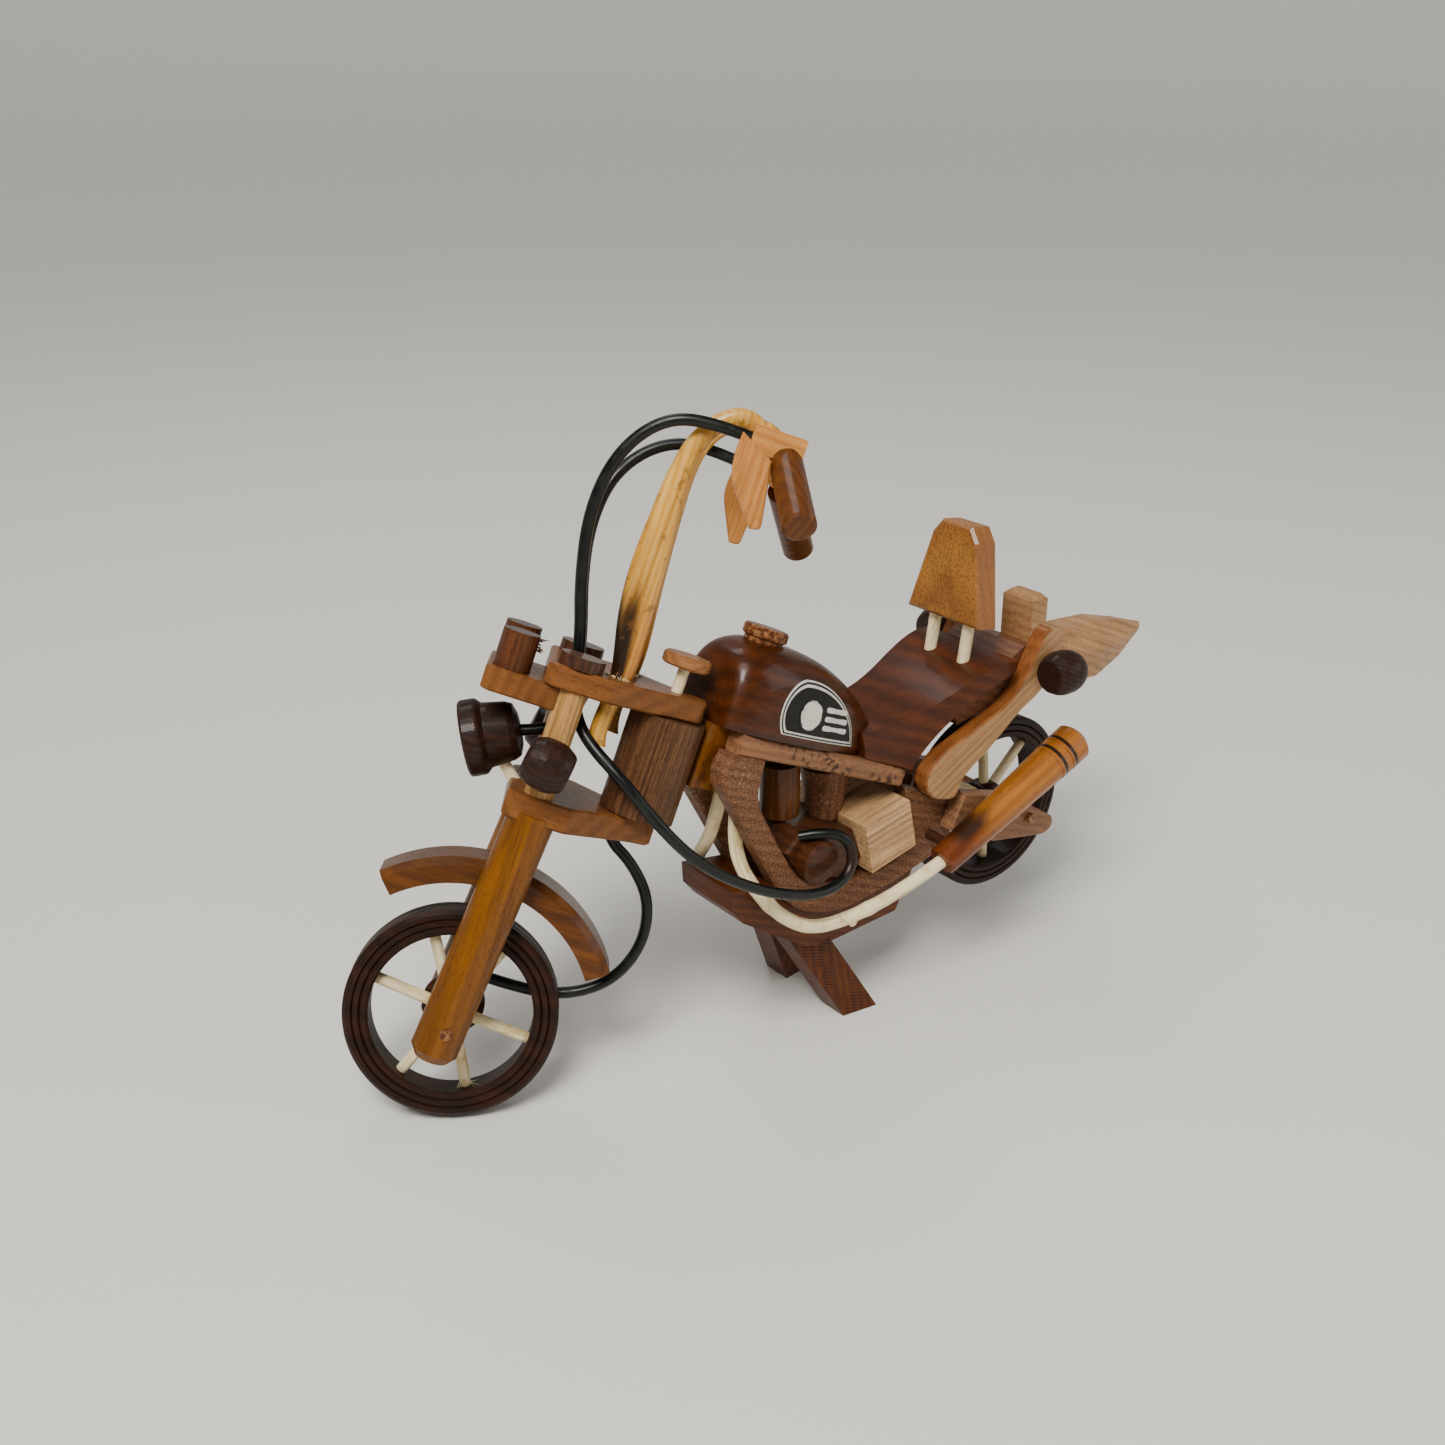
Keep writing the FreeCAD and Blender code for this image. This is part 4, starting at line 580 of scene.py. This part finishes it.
def plain(name, code, rough=0.4, coat=0.4, grit=0.0001, cell=0.0006, tint=None):
    """A painted or printed finish: a colour that wanders a little, with a fine uneven surface."""
    shader = Shader(name)
    here = shader.vector("MULTIPLY", shader.place.outputs["Object"], (1 / cell, 1 / cell, 1 / cell))
    wander = shader.noise(here, detail=3.0)
    colour = shader.mix(shader.between(wander, 0.35, 0.75), linear(code), linear(tint or code))
    bump = shader.add("ShaderNodeBump", {"Height": wander, "Strength": 0.3, "Distance": grit})
    shader.set(shader.surface, {"Base Color": colour, "Roughness": rough, "Normal": bump.outputs["Normal"],
                                "Coat Weight": coat, "Coat Roughness": 0.15, "Specular IOR Level": 0.25})
    return shader.material


paper = plain("label_paper", "dedbd2", rough=0.35, coat=0.6, grit=0.00003, tint="c9c2b2")
ink = plain("label_ink", "0c0a08", rough=0.55, coat=0.1, grit=0.00002, tint="171310")
dress(nodes["tank_decals"], paper)
label_surface = tree_of("tank_decals", "tank")


def printed_band(name, outer, inner, sign, lift):
    """A closed printed line between two loops, laid on the label."""
    build = bmesh.new()
    rows = []
    for loop in (outer, inner):
        row = []
        for x, z in loop:
            start = HEAD @ Vector((x * 0.001, sign * 0.04, z * 0.001))
            way = direction(HEAD, 0, -sign, 0)
            spot = label_surface.ray_cast(start, way)[0]
            row.append(build.verts.new(spot - way * lift))
        rows.append(row)
    count = len(outer)
    for k in range(count):
        corner = [rows[0][k], rows[0][(k + 1) % count], rows[1][(k + 1) % count], rows[1][k]]
        build.faces.new(corner if sign < 0 else corner[::-1])
    made = add_mesh(name, finished(build, name), "frame")
    dress(made, ink)
    thick = made.modifiers.new("print", "SOLIDIFY")
    thick.thickness = PRINT_THICKNESS
    thick.offset = 1.0
    return made


def ring_loop(centre, radius, count=48):
    """A circle as a loop of points."""
    angles = [math.tau * k / count for k in range(count)]
    return [(centre[0] + radius * math.cos(a), centre[1] + radius * math.sin(a)) for a in angles]


def bar_loop(start, end, height, half_height, count=20):
    """A bar with round ends, as a loop of points."""
    loop = []
    for middle_x, first in ((end, -math.pi / 2), (start, math.pi / 2)):
        loop += [(middle_x + half_height * math.cos(first + math.pi * k / count),
                  height + half_height * math.sin(first + math.pi * k / count)) for k in range(count + 1)]
    return loop


def printed_patch(name, loop, sign, lift, finish):
    """A filled printed shape: the loop shrunk towards its middle in steps, each step laid on the label."""
    centre_x = sum(x for x, _ in loop) / len(loop)
    centre_z = sum(z for _, z in loop) / len(loop)
    steps = [1.0, 0.8, 0.6, 0.4, 0.2, 0.02]
    rings = [[(centre_x + (x - centre_x) * s, centre_z + (z - centre_z) * s) for x, z in loop] for s in steps]
    for k, (outer, inner) in enumerate(zip(rings, rings[1:])):
        dress(printed_band(f"{name}_{k}", outer, inner, sign, lift), finish)


for side_name, sign in (("left", -1), ("right", 1)):
    printed_band(f"label_line_{side_name}", label_loop(EDGE_LINE_OUTER), label_loop(EDGE_LINE_INNER), sign,
                 PRINT_LIFT)
    printed_patch(f"label_field_{side_name}", label_loop(FIELD_INSET), sign, PRINT_LIFT, ink)
    printed_band(f"label_disc_edge_{side_name}", ring_loop(DISC_MIDDLE, DISC_EDGE_OUTER),
                 ring_loop(DISC_MIDDLE, DISC_EDGE_INNER), sign, PAPER_LIFT)
    printed_patch(f"label_disc_{side_name}", ring_loop(DISC_MIDDLE, DISC_RADIUS), sign, PAPER_LIFT, paper)
    for number, (start, end, height) in enumerate(STRIPES):
        printed_patch(f"label_stripe_{number}_{side_name}", bar_loop(start, end, height, STRIPE_HALF), sign,
                      PAPER_LIFT, paper)

# ---- rattan rods with their fibres running along them: spokes and exhaust pipes
ROD_SIDES = 18
KNOT_SWELL, KNOT_LENGTH = 0.10, 0.0014      # a knot's rise as a share of the radius, and its length in metres
WOBBLE, WOBBLE_RATE = 0.012, 900            # a rod's slow unevenness, and its turns in radians a metre


def along_path(points):
    """Tangents and side directions along a path, carried on without twist."""
    tangents = []
    for k in range(len(points)):
        tangents.append((points[min(k + 1, len(points) - 1)] - points[max(k - 1, 0)]).normalized())
    side = tangents[0].orthogonal().normalized()
    sides = []
    for tangent in tangents:
        side = (side - tangent * side.dot(tangent)).normalized()
        sides.append(side)
    return tangents, sides


def rod_mesh(name, paths, radius, seed, knots=()):
    """Cane rods along paths: slightly fluted, with the grain's own coordinates kept on each point."""
    dice = random.Random(seed)
    build = bmesh.new()
    grain_of = build.verts.layers.float_vector.new("grain")
    for number, points in enumerate(paths):
        flutes = [1.0 + dice.uniform(-0.035, 0.02) for _ in range(ROD_SIDES)]
        tangents, sides = along_path(points)
        reach, rings = 0.0, []
        for k, (point, tangent, side) in enumerate(zip(points, tangents, sides)):
            reach += (point - points[k - 1]).length if k else 0.0
            swell = 1.0 + sum(KNOT_SWELL * math.exp(-((reach - where) / KNOT_LENGTH) ** 2) for where in knots)
            wobble = 1.0 + WOBBLE * math.sin(reach * WOBBLE_RATE + number)
            across = tangent.cross(side)
            row = []
            for i, flute in enumerate(flutes):
                angle = math.tau * i / ROD_SIDES
                out = side * math.cos(angle) + across * math.sin(angle)
                vert = build.verts.new(point + out * radius * flute * swell * wobble)
                vert[grain_of] = (radius * math.cos(angle), radius * math.sin(angle), reach + 0.05 * number)
                row.append(vert)
            rings.append(row)
        for low, high in zip(rings, rings[1:]):
            for i in range(ROD_SIDES):
                j = (i + 1) % ROD_SIDES
                build.faces.new((low[i], low[j], high[j], high[i])).smooth = True
        build.faces.new(rings[0][::-1])
        build.faces.new(rings[-1])
    return finished(build, name)


def grain_shader(name, look, layers=()):
    """Wood whose grain follows the coordinates kept on the mesh."""
    shader = Shader(name)
    kept = shader.add("ShaderNodeAttribute", attribute_name="grain", attribute_type="GEOMETRY")
    return wood(look, kept.outputs["Vector"], shader, layers)


def straight(start, end, count):
    """Even steps along a line."""
    return [start.lerp(end, k / count) for k in range(count + 1)]


cane = grain_shader("rattan_cane", LOOKS["cane"], [darkened("c9a86a", spots(0.004, 0.5, 0.7, 0.6))])
SPOKE_COUNT, SPOKE_START, SPOKE_END, SPOKE_RADIUS = 6, 0.0032, 0.0213, 0.0015


def spoke_direction(place, number):
    """The spokes stand a little unevenly round the hub."""
    angle = math.radians(60.0 * number + 9.0 * math.sin(2.2 * number + 0.6))
    return direction(place, math.cos(angle), 0, -math.sin(angle))


WHEELS = {"front": (FORK, middle("front_rim"), "front_wheel"),
          "rear": (HEAD, middle("rear_rim"), "rear_wheel")}
for wheel_name, (place, centre, body) in WHEELS.items():
    spoke_paths = []
    for number in range(SPOKE_COUNT):
        way = spoke_direction(place, number)
        spoke_paths.append(straight(centre + way * SPOKE_START, centre + way * SPOKE_END, 8))
    spokes = add_mesh(f"{wheel_name}_spokes_cane", rod_mesh(f"{wheel_name}_spokes_cane", spoke_paths,
                                                            SPOKE_RADIUS, 11), body)
    dress(spokes, cane)
    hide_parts(f"{wheel_name}_spokes")

# one exhaust pipe's points in HEAD; the other side's is its mirror image
PIPE_ROUTE = [(.0286, .0034, .0090), (.0306, .0039, .0010), (.0332, .0070, -.0070), (.0372, .0132, -.0128),
              (.0450, .0176, -.0172), (.0555, .0186, -.0190), (.0660, .0192, -.0156), (.0760, .0208, -.0090),
              (.0850, .0228, -.0006), (.0922, .0240, .0070)]
PIPE_RADIUS = 0.0019
pipe_paths = []
for sign in (-1, 1):
    swept = shape_of(route_curve("pipe_line", HEAD, [(x, sign * y, z) for x, y, z in PIPE_ROUTE], 0.0))
    pipe_paths.append([v.co.copy() for v in swept.vertices])
    bpy.data.meshes.remove(swept)
pipes = add_mesh("exhaust_pipes_cane", rod_mesh("exhaust_pipes_cane", pipe_paths, PIPE_RADIUS, 5,
                                                knots=(0.031, 0.066)), "frame")
dress(pipes, cane)
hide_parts("exhaust_pipes")

# ---- splinters, frayed fibres and beads of glue where the pieces meet
straw = grain_shader("frayed_fibre", LOOKS["cane"])
glue = plain("dried_glue", "c9a873", rough=0.18, coat=1.0, grit=0.0001, cell=0.0009, tint="9c7440")


FIBRE_BEND, FIBRE_SCATTER, FIBRE_TAPER = 0.35, 0.28, 0.85


def fray(name, body, tufts, material, seed):
    """Thin bent splinters. A tuft is (root, way, count, length, thickness, spread)."""
    dice = random.Random(seed)
    build = bmesh.new()
    grain_of = build.verts.layers.float_vector.new("grain")
    for root, way, count, length, thick, spread in tufts:
        for _ in range(count):
            lean = Vector([dice.uniform(-1, 1) for _ in range(3)]) * spread
            heading = (way + lean).normalized()
            bend = Vector([dice.uniform(-1, 1) for _ in range(3)]) * FIBRE_BEND
            start = root + Vector([dice.uniform(-1, 1) for _ in range(3)]) * length * FIBRE_SCATTER
            reach = length * dice.uniform(0.5, 1.0)
            rings = []
            for step in range(4):
                share = step / 3
                spot = start + (heading + bend * share) * reach * share
                side = heading.orthogonal().normalized()
                across = heading.cross(side)
                half_width = thick * (1.0 - FIBRE_TAPER * share)
                row = []
                for angle in (0.0, math.tau / 3, 2 * math.tau / 3):
                    out = side * math.cos(angle) + across * math.sin(angle)
                    vert = build.verts.new(spot + out * half_width)
                    vert[grain_of] = (angle * thick, dice.random() * 0.01, reach * share)
                    row.append(vert)
                rings.append(row)
            for low, high in zip(rings, rings[1:]):
                for i in range(3):
                    build.faces.new((low[i], low[(i + 1) % 3], high[(i + 1) % 3], high[i]))
            build.faces.new(rings[0][::-1])
            build.faces.new(rings[-1])
    dress(add_mesh(name, finished(build, name), body), material)


BEAD_FLATNESS, BEAD_LOBES, BEAD_UNEVENNESS = 0.45, 3, 0.18


def beads(name, body, places, seed):
    """Flattened uneven drops of glue. A place is (spot, outward direction, radius)."""
    dice = random.Random(seed)
    build = bmesh.new()
    for spot, out, radius in places:
        turn = out.to_track_quat("Z", "Y").to_matrix().to_4x4()
        stretch = Matrix.Diagonal((dice.uniform(0.8, 1.3), dice.uniform(0.7, 1.0), BEAD_FLATNESS, 1.0))
        made = bmesh.ops.create_icosphere(build, subdivisions=3, radius=radius,
                                          matrix=Matrix.Translation(spot) @ turn @ stretch)
        phase = dice.uniform(0, math.tau)
        for vert in made["verts"]:
            away = vert.co - spot
            bearing = math.atan2(away.dot(out.orthogonal()), away.dot(out.cross(out.orthogonal())))
            vert.co = spot + away * (1.0 + BEAD_UNEVENNESS * math.sin(BEAD_LOBES * bearing + phase))
    for face in build.faces:
        face.smooth = True
    dress(add_mesh(name, finished(build, name), body), glue)


def fork_point(ahead, left, up):
    """A point ahead of, left of and up the steering axis."""
    return FORK @ Vector((-ahead, -left, up))


YOKE_TOP = 0.0326                     # up the steering axis, in metres
bar_left_foot, bar_right_foot = fork_point(.0153, .0076, YOKE_TOP), fork_point(.0122, -.0076, YOKE_TOP)
tufts = []
for foot in (bar_left_foot, bar_right_foot):
    for k in range(9):
        around = FX * math.cos(0.7 * k) + FY * math.sin(0.7 * k)
        tufts.append((foot + around * 0.0023, around * 0.8 + FZ * 0.30, 4, 0.0027, 0.00013, 0.6))
fray("bar_foot_fibres", "fork", tufts, straw, 3)

tufts = []
for number in (1, 5):
    way = spoke_direction(FORK, number)
    across = way.cross(FY)
    for k in (-1, 0, 1):
        root = WHEELS["front"][1] + way * 0.0196 + across * 0.0011 * k - FY * 0.0013
        tufts.append((root, way * 0.7 + across * 0.5 * k - FY * 0.4, 5, 0.0026, 0.00008, 0.5))
fray("spoke_end_fibres", "front_wheel", tufts, straw, 8)

GAUGE_TOP = 0.0362
gauge_edge = fork_point(.0406, .0086, GAUGE_TOP) + FX * 0.0044 - FZ * 0.0012
tufts = [(gauge_edge - FZ * 0.0011 * k, FX * 0.9 + FY * 0.2 - FZ * 0.1 * k, 3, 0.0020, 0.00030, 0.3)
         for k in range(3)]
fray("gauge_splinters", "fork", tufts, nodes["gauges"].data.materials[0], 21)

drops = []
for foot in (bar_left_foot, bar_right_foot):
    for k in range(6):
        around = FX * math.cos(1.05 * k) + FY * math.sin(1.05 * k)
        drops.append((foot + around * (0.0027 + 0.0003 * (k % 2)), FZ, 0.0006 + 0.0002 * (k % 3)))
beads("bar_foot_glue", "fork", drops, 4)

# ---- floor, lights and camera; the floor is flat near the model and curves up far away, to hide its edge
FLAT_RADIUS = 6.0
RISE_RUN, RISE_HEIGHT, RISE_STEPS = 9.0, 7.0, 16
ROUND_STEPS = 72
floor_points, panels = [], [tuple(range(ROUND_STEPS))]
for step in range(RISE_STEPS + 1):
    radius = FLAT_RADIUS + RISE_RUN * step / RISE_STEPS
    height = RISE_HEIGHT * (step / RISE_STEPS) ** 2
    for k in range(ROUND_STEPS):
        angle = math.tau * k / ROUND_STEPS
        floor_points.append((radius * math.cos(angle), radius * math.sin(angle), height))
        if step:
            here, after = step * ROUND_STEPS + k, step * ROUND_STEPS + (k + 1) % ROUND_STEPS
            panels.append((here - ROUND_STEPS, here, after, after - ROUND_STEPS))
floor_mesh = bpy.data.meshes.new("floor")
floor_mesh.from_pydata(floor_points, [], panels)
for panel in floor_mesh.polygons:
    panel.use_smooth = panel.index > 0
floor = bpy.data.objects.new("floor", floor_mesh)
bpy.context.scene.collection.objects.link(floor)
floor_shader = Shader("floor_paper")
floor_shader.set(floor_shader.surface, {"Base Color": linear("e6e3dc"), "Roughness": 0.9})
dress(floor, floor_shader.material)


def soft_light(name, place, aim, size, power, colour=(1, 1, 1)):
    """A square soft box looking at a point."""
    lamp = bpy.data.lights.new(name, "AREA")
    lamp.shape = "SQUARE"
    lamp.size = size
    lamp.energy = power
    lamp.color = colour
    made = bpy.data.objects.new(name, lamp)
    bpy.context.scene.collection.objects.link(made)
    made.location = place
    made.rotation_euler = (Vector(aim) - Vector(place)).to_track_quat("-Z", "Y").to_euler()


AIM = (0.0, 0.0, 0.08)
soft_light("key", (-0.50, -0.35, 0.80), AIM, 0.30, 7.0, (1.0, 0.97, 0.92))
soft_light("fill", (0.60, -0.70, 0.45), AIM, 0.6, 2.0, (0.96, 0.98, 1.0))
soft_light("back", (0.15, 0.55, 0.95), AIM, 0.4, 2.0)
daylight = bpy.data.lights.new("daylight", "SUN")
daylight.energy = 1.45
daylight.angle = 0.7
sun = bpy.data.objects.new("daylight", daylight)
bpy.context.scene.collection.objects.link(sun)
sun.rotation_euler = Vector((0.45, 0.25, -0.85)).to_track_quat("-Z", "Y").to_euler()
world = bpy.context.scene.world or bpy.data.worlds.new("studio")
bpy.context.scene.world = world
world.use_nodes = True
backdrop = world.node_tree.nodes["Background"]
backdrop.inputs["Color"].default_value = (0.86, 0.88, 0.90, 1.0)
backdrop.inputs["Strength"].default_value = 0.16

camera_data = bpy.data.cameras.new("camera")
camera_data.sensor_width = 36.0
camera_data.lens = 40.36
camera_data.clip_start, camera_data.clip_end = 0.01, 100.0
camera = bpy.data.objects.new("camera", camera_data)
bpy.context.scene.collection.objects.link(camera)
camera.location = (-0.26664, -0.30344, 0.25640)
camera.rotation_euler = Vector((0.5624, 0.7258, -0.3962)).to_track_quat("-Z", "Y").to_euler()
bpy.context.scene.camera = camera
